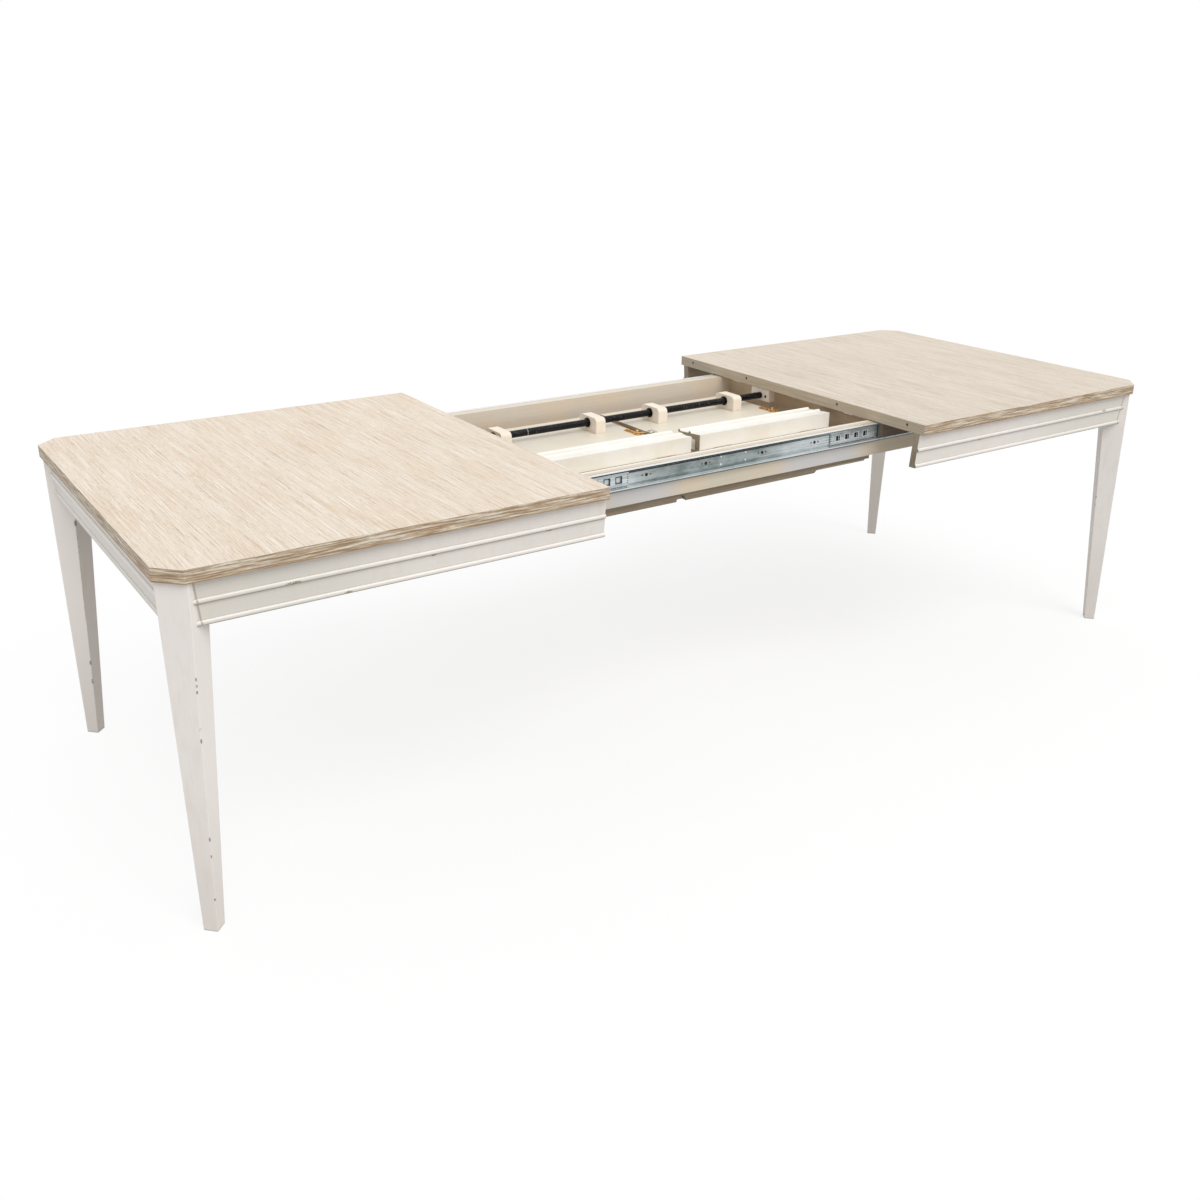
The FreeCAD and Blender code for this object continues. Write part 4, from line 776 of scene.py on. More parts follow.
# Slides
# Cold-rolled steel channels, members and ball retainers, zinc plated, with a painted dark reflection
# towards the channels' middle and painted shade over the members. The channels are held to the rails by
# screws through some of their holes.
ZINC = (214, 221, 224)
ZINC_PAINTED_HIGHLIGHT = (232, 234, 230)
ZINC_GREY = (160, 168, 168)
ZINC_OIL_AND_DARK_REFLECTION = (114, 126, 124)
RUST = (168, 96, 62)
UNDER_LIP_PAINTED_SHADOW = (26, 30, 32)
MEMBER_PAINTED_SHADE = 0.30
SLIDE_LEVEL = 0.7095
SCREW_SPOTS = (-0.268, -0.090, 0.090, 0.268)
HOLE_PITCH = 0.012
STOP_SPOTS = ((-0.043, 0.0095), (-0.043, -0.0105), (0.035, 0.0095), (0.035, -0.0105))
ZINC_ROUGHNESS = 0.34
ZINC_METALLIC = 0.6
METAL_DEPTH = 0.00004
CHANNEL_DRAWN = ((0.20, 0.0016, 0.0016), 3, 0.6)
SLIDE_DRAWN = ((0.20, 0.0012, 0.0012), 3, 0.6)
FIXING_DRAWN = ((0.004, 0.004, 0.004), 3, 0.6)
ZINC_BLOOM = ((0.05, 0.02, 0.02), 3, 0.6)
ZINC_SPOTS = ((0.0035, 0.0035, 0.0035), 3, 0.7)
DRAWN_LEVELS = (0.40, 0.62)
BLOOM_SHARES = (0.42, 0.70, 0.0, 0.5)
BLOOM_SHADE = 1.15
SPOT_SHARES = (0.62, 0.72, 0.0, 0.4)
ZINC_HOLLOW_REACH = 0.003
ZINC_HOLLOW_LEVELS = (0.30, 0.80)
ZINC_HOLLOW_SHARE = 0.45
ZINC_HOLLOW_SHADE = 0.45
ZINC_RIM_REACH = 0.0007
ZINC_RIM_SHARE = 0.7
ZINC_RIM_SHADE = 1.2
ZINC_GLOSS_SHARES = (0.3, 0.7, 0.26, 0.42)

# Only the channels: a painted dark reflection by the middle, rust round the holes, painted highlights on
# the stops, upward faces and lower lip, and a painted shadow under the upper lip
MIDDLE_REFLECTION_STRETCH = (-0.07, 0.14, 0.28)
MIDDLE_REFLECTION_SHARES = (0.30, 0.60, 0.95, 0.6)
RUST_REACH = (0.0042, 1.0, 0.0042)
RUST_SHARE = 0.55
STOP_HIGHLIGHT_REACH = (0.0034, 1.0, 0.0034)
STOP_HIGHLIGHT_SHARE = 0.85
STOP_HIGHLIGHT_SHADE = 1.1
UPPER_LIP_SHADOW_RISE = 0.0178
UPPER_LIP_SHADOW_REACH = (0.0050, 0.0070)
UPPER_LIP_SHADOW_SHARES = (0.1, 0.4, 0.94, 0.55)
NEAR_SIDE_SHARES = (-0.1, 0.1, 1.0, 0.0)
LOWER_LIP_HIGHLIGHT_DROP = 0.0222
LOWER_LIP_HIGHLIGHT_REACH = (0.0014, 0.0026)
LOWER_LIP_HIGHLIGHT_SHARE = 0.7
LOWER_LIP_HIGHLIGHT_SHADE = 1.1


def channel_marks(zinc, colour, bloom):
    """Rust round the holes of a channel, with painted reflection, highlights and shadow."""
    upward = zinc.side("Z", 1)
    front = zinc.rest(upward)
    # Painted dark reflection on the channel's front, towards the middle
    dark = zinc.all(zinc.stretch("X", *MIDDLE_REFLECTION_STRETCH), zinc.ease(bloom, *MIDDLE_REFLECTION_SHARES), front)
    colour = zinc.blend(dark, colour, tone(ZINC_OIL_AND_DARK_REFLECTION))
    for screw_spot in SCREW_SPOTS:
        for step in (-HOLE_PITCH, 0, HOLE_PITCH):
            ring = zinc.patch((screw_spot + step, 0, SLIDE_LEVEL), RUST_REACH)
            colour = zinc.blend(zinc.all(ring, RUST_SHARE), colour, tone(RUST))
    # A painted highlight on each pressed stop
    for stop_spot, stop_rise in STOP_SPOTS:
        stop = zinc.patch((stop_spot, 0, SLIDE_LEVEL + stop_rise), STOP_HIGHLIGHT_REACH)
        colour = zinc.blend(zinc.all(stop, STOP_HIGHLIGHT_SHARE), colour, tone(ZINC_PAINTED_HIGHLIGHT, STOP_HIGHLIGHT_SHADE))
    # Painted highlight on the upward faces
    colour = zinc.blend(upward, colour, tone(ZINC_PAINTED_HIGHLIGHT))
    # Painted shadow under the upper lip, on the near channel
    under = zinc.all(zinc.stretch("Z", SLIDE_LEVEL + UPPER_LIP_SHADOW_RISE, *UPPER_LIP_SHADOW_REACH), front)
    near_side = zinc.ease(zinc.along["Y"], *NEAR_SIDE_SHARES)
    near = zinc.all(near_side, zinc.ease(zinc.along["X"], *UPPER_LIP_SHADOW_SHARES))
    colour = zinc.blend(zinc.all(under, near), colour, tone(UNDER_LIP_PAINTED_SHADOW))
    # Painted highlight along the lower lip
    low = zinc.stretch("Z", SLIDE_LEVEL - LOWER_LIP_HIGHLIGHT_DROP, *LOWER_LIP_HIGHLIGHT_REACH)
    return zinc.blend(zinc.all(low, LOWER_LIP_HIGHLIGHT_SHARE), colour, tone(ZINC, LOWER_LIP_HIGHLIGHT_SHADE))


def zinc_plate(name, drawn_lines, is_channel=False, shade=1.0):
    """Zinc plating with drawn lines, a bloom, spots of old oil and darker hollows; a shade below 1
    darkens it all as painted shade.
    """
    zinc = Finish(name, ZINC_ROUGHNESS, metallic=ZINC_METALLIC)
    drawn = zinc.noise(*drawn_lines)
    bloom = zinc.noise(*ZINC_BLOOM)
    spots = zinc.noise(*ZINC_SPOTS)
    colour = zinc.blend(zinc.ease(drawn, *DRAWN_LEVELS), tone(ZINC, shade), tone(ZINC_GREY, shade))
    colour = zinc.blend(zinc.ease(bloom, *BLOOM_SHARES), colour, tone(ZINC, BLOOM_SHADE * shade))
    if is_channel:
        colour = channel_marks(zinc, colour, bloom)
    colour = zinc.blend(zinc.ease(spots, *SPOT_SHARES), colour, tone(ZINC_OIL_AND_DARK_REFLECTION))
    dark_hollows = zinc.all(zinc.hollow(ZINC_HOLLOW_REACH, ZINC_HOLLOW_LEVELS), ZINC_HOLLOW_SHARE)
    colour = zinc.blend(dark_hollows, colour, tone(ZINC_OIL_AND_DARK_REFLECTION, ZINC_HOLLOW_SHADE))
    rim = zinc.all(zinc.edge(ZINC_RIM_REACH), ZINC_RIM_SHARE)
    colour = zinc.blend(rim, colour, tone(ZINC, ZINC_RIM_SHADE * shade))
    return zinc.coat(colour, drawn, METAL_DEPTH, zinc.ease(bloom, *ZINC_GLOSS_SHARES))


channel_finish = zinc_plate("channel_zinc", CHANNEL_DRAWN, True)
slide_finish = zinc_plate("slide_zinc", SLIDE_DRAWN)
wear(channel_finish, "slide_channel_near", "slide_channel_far")
# The members are darkened all over as painted shade under the tops
member_shaded_finish = zinc_plate("member_zinc_painted_shade", SLIDE_DRAWN, False, MEMBER_PAINTED_SHADE)
for hand in ("left", "right"):
    wear(slide_finish, hand + "_ball_retainers")
    wear(member_shaded_finish, hand + "_slide_members")

# Bolts, pins, keepers and balls
# The halves' bolts, pins and screws are zinc plated like the slides. The leaves' keepers and
# pins are passivated a little yellow, and the balls of the slides are polished steel.
KEEPER_ZINC = (228, 222, 208)
KEEPER_ROUGHNESS = 0.4
KEEPER_METALLIC = 0.4
KEEPER_SPECKS = ((0.0030, 0.0030, 0.0030), 3, 0.7)
KEEPER_SPECK_SHARES = (0.55, 0.68, 0.0, 0.8)
KEEPER_GLOSS_SHARES = (0.3, 0.7, 0.3, 0.5)
BALL_STEEL = (196, 196, 198)
BRIGHT_ROUGHNESS = 0.12
BRIGHT_HAZE = ((0.002, 0.002, 0.002), 2)
BRIGHT_GLOSS_SHARES = (0.3, 0.7, 0.08, 0.2)

fixing_finish = zinc_plate("fixing_zinc", FIXING_DRAWN)
wear(fixing_finish, "left_fixings", "right_fixings")


def keeper_plate():
    """Yellowish passivated zinc, speckled darker."""
    plated = Finish("keeper_zinc", KEEPER_ROUGHNESS, metallic=KEEPER_METALLIC)
    specks = plated.noise(*KEEPER_SPECKS)
    colour = plated.blend(plated.ease(specks, *KEEPER_SPECK_SHARES), tone(KEEPER_ZINC), tone(ZINC_OIL_AND_DARK_REFLECTION))
    return plated.coat(colour, specks, METAL_DEPTH, plated.ease(specks, *KEEPER_GLOSS_SHARES))


keeper_finish = keeper_plate()
for leaf in LEAVES:
    wear(keeper_finish, leaf + "_pins_and_keeper")


def bright_steel(name, steel, metallic):
    """Bright steel under a slight haze."""
    bright = Finish(name, BRIGHT_ROUGHNESS, metallic=metallic)
    haze = bright.noise(*BRIGHT_HAZE)
    colour = bright.blend(haze, tone(steel), tone(ZINC))
    return bright.coat(colour, None, 0.0, bright.ease(haze, *BRIGHT_GLOSS_SHARES))


ball_finish = bright_steel("ball_steel", BALL_STEEL, 1.0)
wear(ball_finish, "left_slide_balls", "right_slide_balls")

# Ribs, stops and spare holes of the channels
# Each channel has two ribs and four stops pressed out of its web. The holes that stay empty on both sides
# of each screw hold a dark disc of painted shade.
RAIL_OUTSIDE = 0.3393
WEB_THICKNESS = 0.0015
WEB_FACE = RAIL_OUTSIDE + WEB_THICKNESS
SUNK = 0.0002
RIB_DROP = 0.012
RIB_HALF = 0.638
RIB_WIDTH = 0.0044
RIB_STAND = 0.0008
RIB_RUN = 0.006
RIB_END_SHARE = 0.05
RIB_SIDE_SHARES = ((-0.5, -0.3), (-0.5, 0.0), (-0.28, 0.75))
RIB_SHARES = [*RIB_SIDE_SHARES, (0.0, 1.0), *((-across, up) for across, up in reversed(RIB_SIDE_SHARES))]
STOP_PROFILE = [(0.0034, -SUNK), (0.0032, 0.0004), (0.0024, 0.0010), (0.0012, 0.0013), (0, 0.0014)]
HOLE_RADIUS = 0.00195
HOLE_PROFILE = [(HOLE_RADIUS, -SUNK), (HOLE_RADIUS, 0.0013), (0, 0.0011)]
HOLE_PAINTED_SHADE = (70, 50, 38)
HOLE_DARK_SHADE = 0.4
HOLE_ROUGHNESS = 0.8
HOLE_SPECKS = ((0.001, 0.001, 0.001), 2)
HOLE_DEPTH = 0.0001
SHARP_ANGLE = 32
TURN_STEPS = 24


def solid_object(name, shape):
    """An object made of a finished shape, its faces turned outward."""
    bmesh.ops.recalc_face_normals(shape, faces=shape.faces)
    mesh = bpy.data.meshes.new(name)
    shape.to_mesh(mesh)
    shape.free()
    solid = bpy.data.objects.new(name, mesh)
    bpy.context.scene.collection.objects.link(solid)
    return solid


def made_of(name, shape, finish, body):
    """Turn a finished shape into a piece that moves with its body."""
    piece = solid_object(name, shape)
    for face in piece.data.polygons:
        face.use_smooth = True
    piece.data.set_sharp_from_angle(angle=math.radians(SHARP_ANGLE))
    piece.data.materials.append(finish)
    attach(piece, body)
    return piece


def bridge(shape, first, second):
    """Faces between two rings of as many corners."""
    for step in range(len(first)):
        after = (step + 1) % len(first)
        shape.faces.new((first[step], first[after], second[after], second[step]))


def skin(shape, rings):
    """Close a row of rings into a solid, with a face on each end."""
    for first, second in zip(rings, rings[1:]):
        bridge(shape, first, second)
    shape.faces.new(rings[0])
    shape.faces.new(rings[-1])


def turned(shape, centre, axis, profile, steps=TURN_STEPS):
    """Turn a profile of (radius, height) pairs round an axis that starts at a centre."""
    aim = Vector(axis).to_track_quat("Z", "Y").to_matrix()
    rings = []
    for radius, height in profile:
        ring = []
        for step in range(steps if radius else 1):
            angle = math.tau * step / steps
            point = Vector((radius * math.cos(angle), radius * math.sin(angle), height))
            ring.append(shape.verts.new(Vector(centre) + aim @ point))
        rings.append(ring)
    for lower, upper in zip(rings, rings[1:]):
        for step in range(steps):
            after = (step + 1) % steps
            corners = [lower[step % len(lower)], lower[after % len(lower)]]
            corners += [upper[after % len(upper)], upper[step % len(upper)]]
            shape.faces.new(list(dict.fromkeys(corners)))
    for ring in (rings[0], rings[-1]):
        if len(ring) > 1:
            shape.faces.new(ring)


def pressed_rib(shape, low, high, out, level):
    """A low rounded rib along X on a channel's web, running out flat at both ends."""
    rings = []
    ends = ((low, RIB_END_SHARE), (low + RIB_RUN, 1.0), (high - RIB_RUN, 1.0), (high, RIB_END_SHARE))
    for place, rise in ends:
        ring = []
        for across, up in RIB_SHARES:
            stand = up * RIB_STAND * (rise if up > 0 else 1.0)
            spot = (place, out * (WEB_FACE + stand), level + across * RIB_WIDTH)
            ring.append(shape.verts.new(spot))
        rings.append(ring)
    skin(shape, rings)


def hole_shade(name):
    """A dark disc of painted shade at the bottom of an empty screw hole."""
    shade = Finish(name, HOLE_ROUGHNESS)
    specks = shade.noise(*HOLE_SPECKS)
    colour = shade.blend(specks, tone(HOLE_PAINTED_SHADE), tone(HOLE_PAINTED_SHADE, HOLE_DARK_SHADE))
    return shade.coat(colour, specks, HOLE_DEPTH)


hole_shade_finish = hole_shade("hole_painted_shade")
for side_name, out in (("near", -1), ("far", 1)):
    pressings = bmesh.new()
    for drop in (-RIB_DROP, RIB_DROP):
        pressed_rib(pressings, -RIB_HALF, RIB_HALF, out, SLIDE_LEVEL + drop)
    for place, rise in STOP_SPOTS:
        centre = (place, out * WEB_FACE, SLIDE_LEVEL + rise)
        turned(pressings, centre, (0, out, 0), STOP_PROFILE)
    made_of(f"channel_{side_name}_pressings", pressings, channel_finish, "centre_box")
    holes = bmesh.new()
    for screw_spot in SCREW_SPOTS:
        for step in (-HOLE_PITCH, HOLE_PITCH):
            centre = (screw_spot + step, out * RAIL_OUTSIDE, SLIDE_LEVEL)
            turned(holes, centre, (0, out, 0), HOLE_PROFILE)
    made_of(f"channel_{side_name}_holes", holes, hole_shade_finish, "centre_box")

# Ball retainers
# Lips stand round the windows of each retainer, a painted highlight on the right and painted shade on the
# left. Small dimples in the same painted shade run along both edges and down the inner end, and black
# pads in the right retainers' windows are painted shade too.
CAGE_STAND = 0.0041
CAGE_FACE = RAIL_OUTSIDE + CAGE_STAND
CAGE_START = 0.321
CAGE_END = 0.486
WINDOW_LEAD = 0.028
WINDOW_PITCH = 0.033
WINDOWS = 4
WINDOW_HALF = (0.0075, 0.0070)
LIP_WIDTH = 0.0016
LIP_STAND = 0.0007
LIP_SECTION = ((0, -SUNK), (0, LIP_STAND), (LIP_WIDTH, LIP_STAND), (LIP_WIDTH, -SUNK))
LIP_ROUGHNESS = 0.3
LIP_WRINKLE = 0.0001
LIP_PAINTED_HIGHLIGHT = (250, 252, 254)
LIP_METALLIC = 0.15
SHADE_PAD_LENGTH_SHARE = 0.62
SHADE_PAD_PLAY = 0.0003
SHADE_PAD_DEPTH = 0.0007
SHADE_PAD_CROWN = (-0.0012, 0.0003)
SHADE_PAD_SECTION = ((-SHADE_PAD_PLAY, -SHADE_PAD_DEPTH), (-SHADE_PAD_PLAY, -SUNK), SHADE_PAD_CROWN)
DIMPLE_PITCH = 0.0052
DIMPLE_ROW = 0.0171
DIMPLE_COLUMN = 0.0024
DIMPLES_EACH_WAY = 2
DIMPLE_PROFILE = [(0.0014, -SUNK), (0.0012, 0.0005), (0.0007, 0.0010), (0, 0.0011)]
DIMPLE_STEPS = 12


def window_ring(shape, middle, half, grow, depth, out):
    """Four corners round a window, grown beyond its edge and standing off the retainer."""
    wide, tall = (reach + grow for reach in half)
    corners = ((-wide, -tall), (wide, -tall), (wide, tall), (-wide, tall))
    stand = out * (CAGE_FACE + depth)
    return [shape.verts.new((middle + across, stand, SLIDE_LEVEL + up)) for across, up in corners]


def window_lip(shape, middle, out):
    """A frame standing round one window."""
    rings = [window_ring(shape, middle, WINDOW_HALF, grow, depth, out) for grow, depth in LIP_SECTION]
    for index, ring in enumerate(rings):
        bridge(shape, ring, rings[(index + 1) % len(rings)])


def window_shade_pad(shape, middle, out):
    """A black pad of painted shade in one window towards its inner end, crowned a little."""
    half = (SHADE_PAD_LENGTH_SHARE * WINDOW_HALF[0], WINDOW_HALF[1])
    start = middle - (1 - SHADE_PAD_LENGTH_SHARE) * WINDOW_HALF[0]
    skin(shape, [window_ring(shape, start, half, grow, depth, out) for grow, depth in SHADE_PAD_SECTION])


# Painted shade for the left lips and the dimples, painted highlight for the right lips
shade_lip_finish = black_coat("window_lip_painted_shade", LIP_ROUGHNESS, LIP_WRINKLE)
highlight_lip_finish = bright_steel("lip_painted_highlight", LIP_PAINTED_HIGHLIGHT, LIP_METALLIC)
window_spots = [CAGE_START + WINDOW_LEAD + index * WINDOW_PITCH for index in range(WINDOWS)]
for hand, end, hand_lip_finish in (("left", -1, shade_lip_finish), ("right", 1, highlight_lip_finish)):
    lips = bmesh.new()
    dimples = bmesh.new()
    for out in (-1, 1):
        for spot in window_spots:
            window_lip(lips, end * spot, out)
        place = CAGE_START + DIMPLE_PITCH
        while place < CAGE_END:
            for row in (-DIMPLE_ROW, DIMPLE_ROW):
                centre = (end * place, out * CAGE_FACE, SLIDE_LEVEL + row)
                turned(dimples, centre, (0, out, 0), DIMPLE_PROFILE, DIMPLE_STEPS)
            place += DIMPLE_PITCH
        column = end * (CAGE_START + DIMPLE_COLUMN)
        for rise in range(-DIMPLES_EACH_WAY, DIMPLES_EACH_WAY + 1):
            centre = (column, out * CAGE_FACE, SLIDE_LEVEL + rise * DIMPLE_PITCH)
            turned(dimples, centre, (0, out, 0), DIMPLE_PROFILE, DIMPLE_STEPS)
    made_of(hand + "_window_lips", lips, hand_lip_finish, hand + "_retainers")
    made_of(hand + "_retainer_dimples", dimples, shade_lip_finish, hand + "_retainers")

# Black pads of painted shade in the right retainers' windows
shade_pads = bmesh.new()
for out in (-1, 1):
    for spot in window_spots:
        window_shade_pad(shade_pads, spot, out)
made_of("right_window_shade_pads", shade_pads, bush_finish, "right_retainers")

# Spring ring of the pivot rod
# A bright steel ring snapped onto the rod by the first leaf's block.
ROD_AXIS = (0.134, 0.710)
ROD_RADIUS = 0.0095
RING_SPOT = -0.313
RING_THICK = 0.0012
RING_STAND = 0.0006
RING_SEAT = 0.0003
RING_STEPS = 40

ring_shape = bmesh.new()
ring_profile = [
    (ROD_RADIUS - RING_SEAT, 0),
    (ROD_RADIUS + RING_STAND, 0),
    (ROD_RADIUS + RING_STAND, RING_THICK),
    (ROD_RADIUS - RING_SEAT, RING_THICK),
]
turned(ring_shape, (RING_SPOT, *ROD_AXIS), (1, 0, 0), ring_profile, RING_STEPS)
made_of("rod_spring_ring", ring_shape, ball_finish, "centre_box")

# Screws of the box
# Pan-head screws with a cross recess, in black oxide rubbed bright on their rims. They
# hold the channels to the rails and the end blocks to the cross rails.
SCREW_BLACK = (44, 40, 38)
SCREW_RUBBED = (128, 122, 116)
OXIDE_ROUGHNESS = 0.42
OXIDE_METALLIC = 0.7
OXIDE_RIM_REACH = 0.0008
OXIDE_CLOUD = ((0.003, 0.003, 0.003), 3)
OXIDE_GLOSS_SHARES = (0.3, 0.7, 0.36, 0.5)
HEAD_RADIUS = 0.0040
HEAD_HEIGHT = 0.0014
HEAD_DOME_SHARES = ((1, 0), (1, 0.35), (0.93, 0.65), (0.75, 0.87), (0.4, 1), (0, 1))
HEAD_STEPS = 28
RECESS_SHARE = 0.60
RECESS_WIDTH = 0.0012
RECESS_DEPTH = 0.0009
RECESS_FOOT_SHARE = 0.55
RECESS_MOUTH_SHARE = 1.3
RECESS_MOUTH_RISE = 2
HEAD_TWIST = 0.4
BLOCK_FACE = 0.495
BLOCK_SCREWS = (0.110, 0.158)
BLOCK_SCREW_LEVEL = 0.710
BLOCK_HEAD_START = 0.3
BLOCK_HEAD_TWIST = 0.5


def black_oxide(name):
    """Black oxide, rubbed to the steel in places along the rim."""
    oxide = Finish(name, OXIDE_ROUGHNESS, metallic=OXIDE_METALLIC)
    rim = oxide.edge(OXIDE_RIM_REACH)
    cloud = oxide.noise(*OXIDE_CLOUD)
    shine = oxide.all(rim, oxide.ease(cloud, *HALF_LEVELS))
    colour = oxide.blend(shine, tone(SCREW_BLACK), tone(SCREW_RUBBED))
    return oxide.coat(colour, cloud, METAL_DEPTH, oxide.ease(cloud, *OXIDE_GLOSS_SHARES))


def cross_head(radius, height, recess_depth):
    """The mesh of a domed head with its cross recess cut, standing on the origin along Z."""
    blank = bmesh.new()
    dome = [(wide * radius, rise * height) for wide, rise in HEAD_DOME_SHARES]
    turned(blank, (0, 0, 0), (0, 0, 1), dome, HEAD_STEPS)
    cutter = bmesh.new()
    arm = RECESS_SHARE * radius
    half = RECESS_WIDTH * radius / HEAD_RADIUS / 2
    outline = [(arm, -half), (arm, half), (half, half), (half, arm), (-half, arm), (-half, half)]
    outline += [(-arm, half), (-arm, -half), (-half, -half), (-half, -arm), (half, -arm), (half, -half)]
    rings = []
    ends = ((height - recess_depth, RECESS_FOOT_SHARE), (height * RECESS_MOUTH_RISE, RECESS_MOUTH_SHARE))
    for level, taper in ends:
        rings.append([cutter.verts.new((x * taper, y * taper, level)) for x, y in outline])
    skin(cutter, rings)
    head = solid_object("head_blank", blank)
    tool = solid_object("recess_cutter", cutter)
    carve = head.modifiers.new("recess", "BOOLEAN")
    carve.operation = "DIFFERENCE"
    carve.solver = "EXACT"
    carve.object = tool
    carved = bpy.data.meshes.new_from_object(head.evaluated_get(bpy.context.evaluated_depsgraph_get()))
    bpy.data.objects.remove(head)
    bpy.data.objects.remove(tool)
    return carved


def stamp(shape, mesh, centre, axis, twist=0.0):
    """Set a copy of a small mesh into a shape, standing on a centre along an axis."""
    start = len(shape.verts)
    shape.from_mesh(mesh)
    shape.verts.ensure_lookup_table()
    aim = Vector(axis).to_track_quat("Z", "Y").to_matrix().to_4x4()
    place = Matrix.Translation(centre) @ aim @ Matrix.Rotation(twist, 4, "Z")
    bmesh.ops.transform(shape, matrix=place, verts=shape.verts[start:])


oxide_finish = black_oxide("screw_oxide")
pan_head = cross_head(HEAD_RADIUS, HEAD_HEIGHT, RECESS_DEPTH)
heads = bmesh.new()
for out in (-1, 1):
    for turn, screw_spot in enumerate(SCREW_SPOTS):
        centre = Vector((screw_spot, out * WEB_FACE, SLIDE_LEVEL))
        stamp(heads, pan_head, centre, (0, out, 0), HEAD_TWIST * turn)
for way in (-1, 1):
    for turn, screw_spot in enumerate(BLOCK_SCREWS):
        centre = Vector((way * BLOCK_FACE, screw_spot, BLOCK_SCREW_LEVEL))
        stamp(heads, pan_head, centre, (-way, 0, 0), BLOCK_HEAD_START + BLOCK_HEAD_TWIST * turn)
screw_heads = made_of("box_screw_heads", heads, oxide_finish, "centre_box")
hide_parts("box_screws")

# Brass hinges and catches
# Butt hinges, fold hinges and catches of lacquered brass, browned where hands and damp
# reached them. A catch is a screwed plate with round ends and a riveted lever whose finger
# reaches past the leaf's edge, with a knob to turn it by.
BRASS = (236, 200, 132)
BRASS_PALE = (250, 232, 184)
BRASS_BROWN = (176, 98, 46)
BRASS_ROUGHNESS = 0.32
BRASS_METALLIC = 0.75
BRASS_STAIN = ((0.010, 0.010, 0.010), 4, 0.7)
BRASS_DRAWN = ((0.0015, 0.02, 0.0015), 3)
BRASS_STAIN_LEVELS = (0.47, 0.60)
BRASS_RIM_REACH = 0.0007
BRASS_RIM_SHARE = 0.8
BRASS_GRIME_REACH = 0.003
BRASS_GRIME_LEVELS = (0.35, 0.85)
BRASS_GRIME_SHARE = 0.7
BRASS_GRIME_SHADE = 0.35
BRASS_GLOSS_SHARES = (0.3, 0.7, 0.26, 0.5)
BRASS_NODES = ("fold_hinges", "apron_hinges", "apron_hinge_wings")
PLATE_THICK = 0.0015
PLATE_BEVEL = 0.0004
PLATE_END_STEPS = 14
PLATE_SCREW = (0.0024, 0.0004, 0.0003)
PLATE_SCREW_SPOTS = ((-0.0073, 0.018), (0.0073, 0.030), (-0.0073, 0.042))
PLATE_SCREW_TWIST = 50
RIVET_RADIUS = 0.0025
RIVET_HEAD_RADII = (0.0045, 0.0043, 0.0028)
RIVET_PLAY = 0.0003
RIVET_ARRIS = 0.0005

# The lever bends from its rivet down to the finger, which stands out along X
FINGER_INSET = 0.0045
TIP_INSET = 0.0030
LEVER_FROM_RIVET = ((0, 0), (-0.0010, -0.012), (-0.0015, -0.024))
LEVER_BY_FINGER = ((-0.0005, 0.014), (0.0028, 0.005), (0.0090, 0.0008), (0.0160, 0))
LEVER_HALF_WIDTHS = (0.0045, 0.0030, 0.0027, 0.0029, 0.0036, 0.0034, 0.0029, 0.0026)
LEVER_END_STEPS = 10
KNOB_SPOT = (0.0020, 0.0065)
KNOB_PROFILE = [(0.0030, -0.0004), (0.0028, 0.0012), (0.0022, 0.0022), (0.0034, 0.0036)]
KNOB_PROFILE += [(0.0040, 0.0050), (0.0034, 0.0064), (0.0016, 0.0072), (0, 0.0074)]
KEEPER_SCREW = (0.0027, 0.0012, 0.0008)
KEEPER_SCREW_INSET = 0.0075
KEEPER_SCREW_REACH = 0.0095
KEEPER_SCREW_TWIST = 0.6


def aged_brass(name):
    """Lacquered brass: pale on its rims, stained brown and dark in its corners."""
    brass = Finish(name, BRASS_ROUGHNESS, metallic=BRASS_METALLIC)
    stain = brass.noise(*BRASS_STAIN)
    fine = brass.noise(*BRASS_DRAWN)
    colour = brass.blend(brass.ease(stain, *BRASS_STAIN_LEVELS), tone(BRASS), tone(BRASS_BROWN))
    rim = brass.all(brass.edge(BRASS_RIM_REACH), BRASS_RIM_SHARE)
    colour = brass.blend(rim, colour, tone(BRASS_PALE))
    dark_hollows = brass.all(brass.hollow(BRASS_GRIME_REACH, BRASS_GRIME_LEVELS), BRASS_GRIME_SHARE)
    colour = brass.blend(dark_hollows, colour, tone(BRASS_BROWN, BRASS_GRIME_SHADE))
    return brass.coat(colour, fine, METAL_DEPTH, brass.ease(stain, *BRASS_GLOSS_SHARES))


def round_bar(line, half_widths, end_steps):
    """The outline of a flat bar along a line, its widths in step and its ends round."""
    points = []
    for way in (1, -1):
        run = list(zip(line, half_widths))[::way]
        last = len(run) - 1
        for index, (spot, width) in enumerate(run):
            back = run[max(index - 1, 0)][0]
            ahead = run[min(index + 1, last)][0]
            heading = math.atan2(ahead[1] - back[1], ahead[0] - back[0])
            for step in range(end_steps - 1 if index == last else 1):
                angle = heading - math.pi / 2 + math.pi * step / (end_steps - 1)
                points.append((spot[0] + width * math.cos(angle), spot[1] + width * math.sin(angle)))
    return points


def flat_bar(shape, outline, foot, top, bevel=PLATE_BEVEL):
    """A flat plate of an outline between two levels, its upper arris bevelled."""
    low = [shape.verts.new((*spot, foot)) for spot in outline]
    rim = [shape.verts.new((*spot, top - bevel)) for spot in outline]
    inner = []
    for index, spot in enumerate(outline):
        before = Vector(outline[index - 1])
        after = Vector(outline[(index + 1) % len(outline)])
        run = (after - before).normalized()
        inner.append(shape.verts.new((spot[0] - run.y * bevel, spot[1] + run.x * bevel, top)))
    skin(shape, (low, rim, inner))


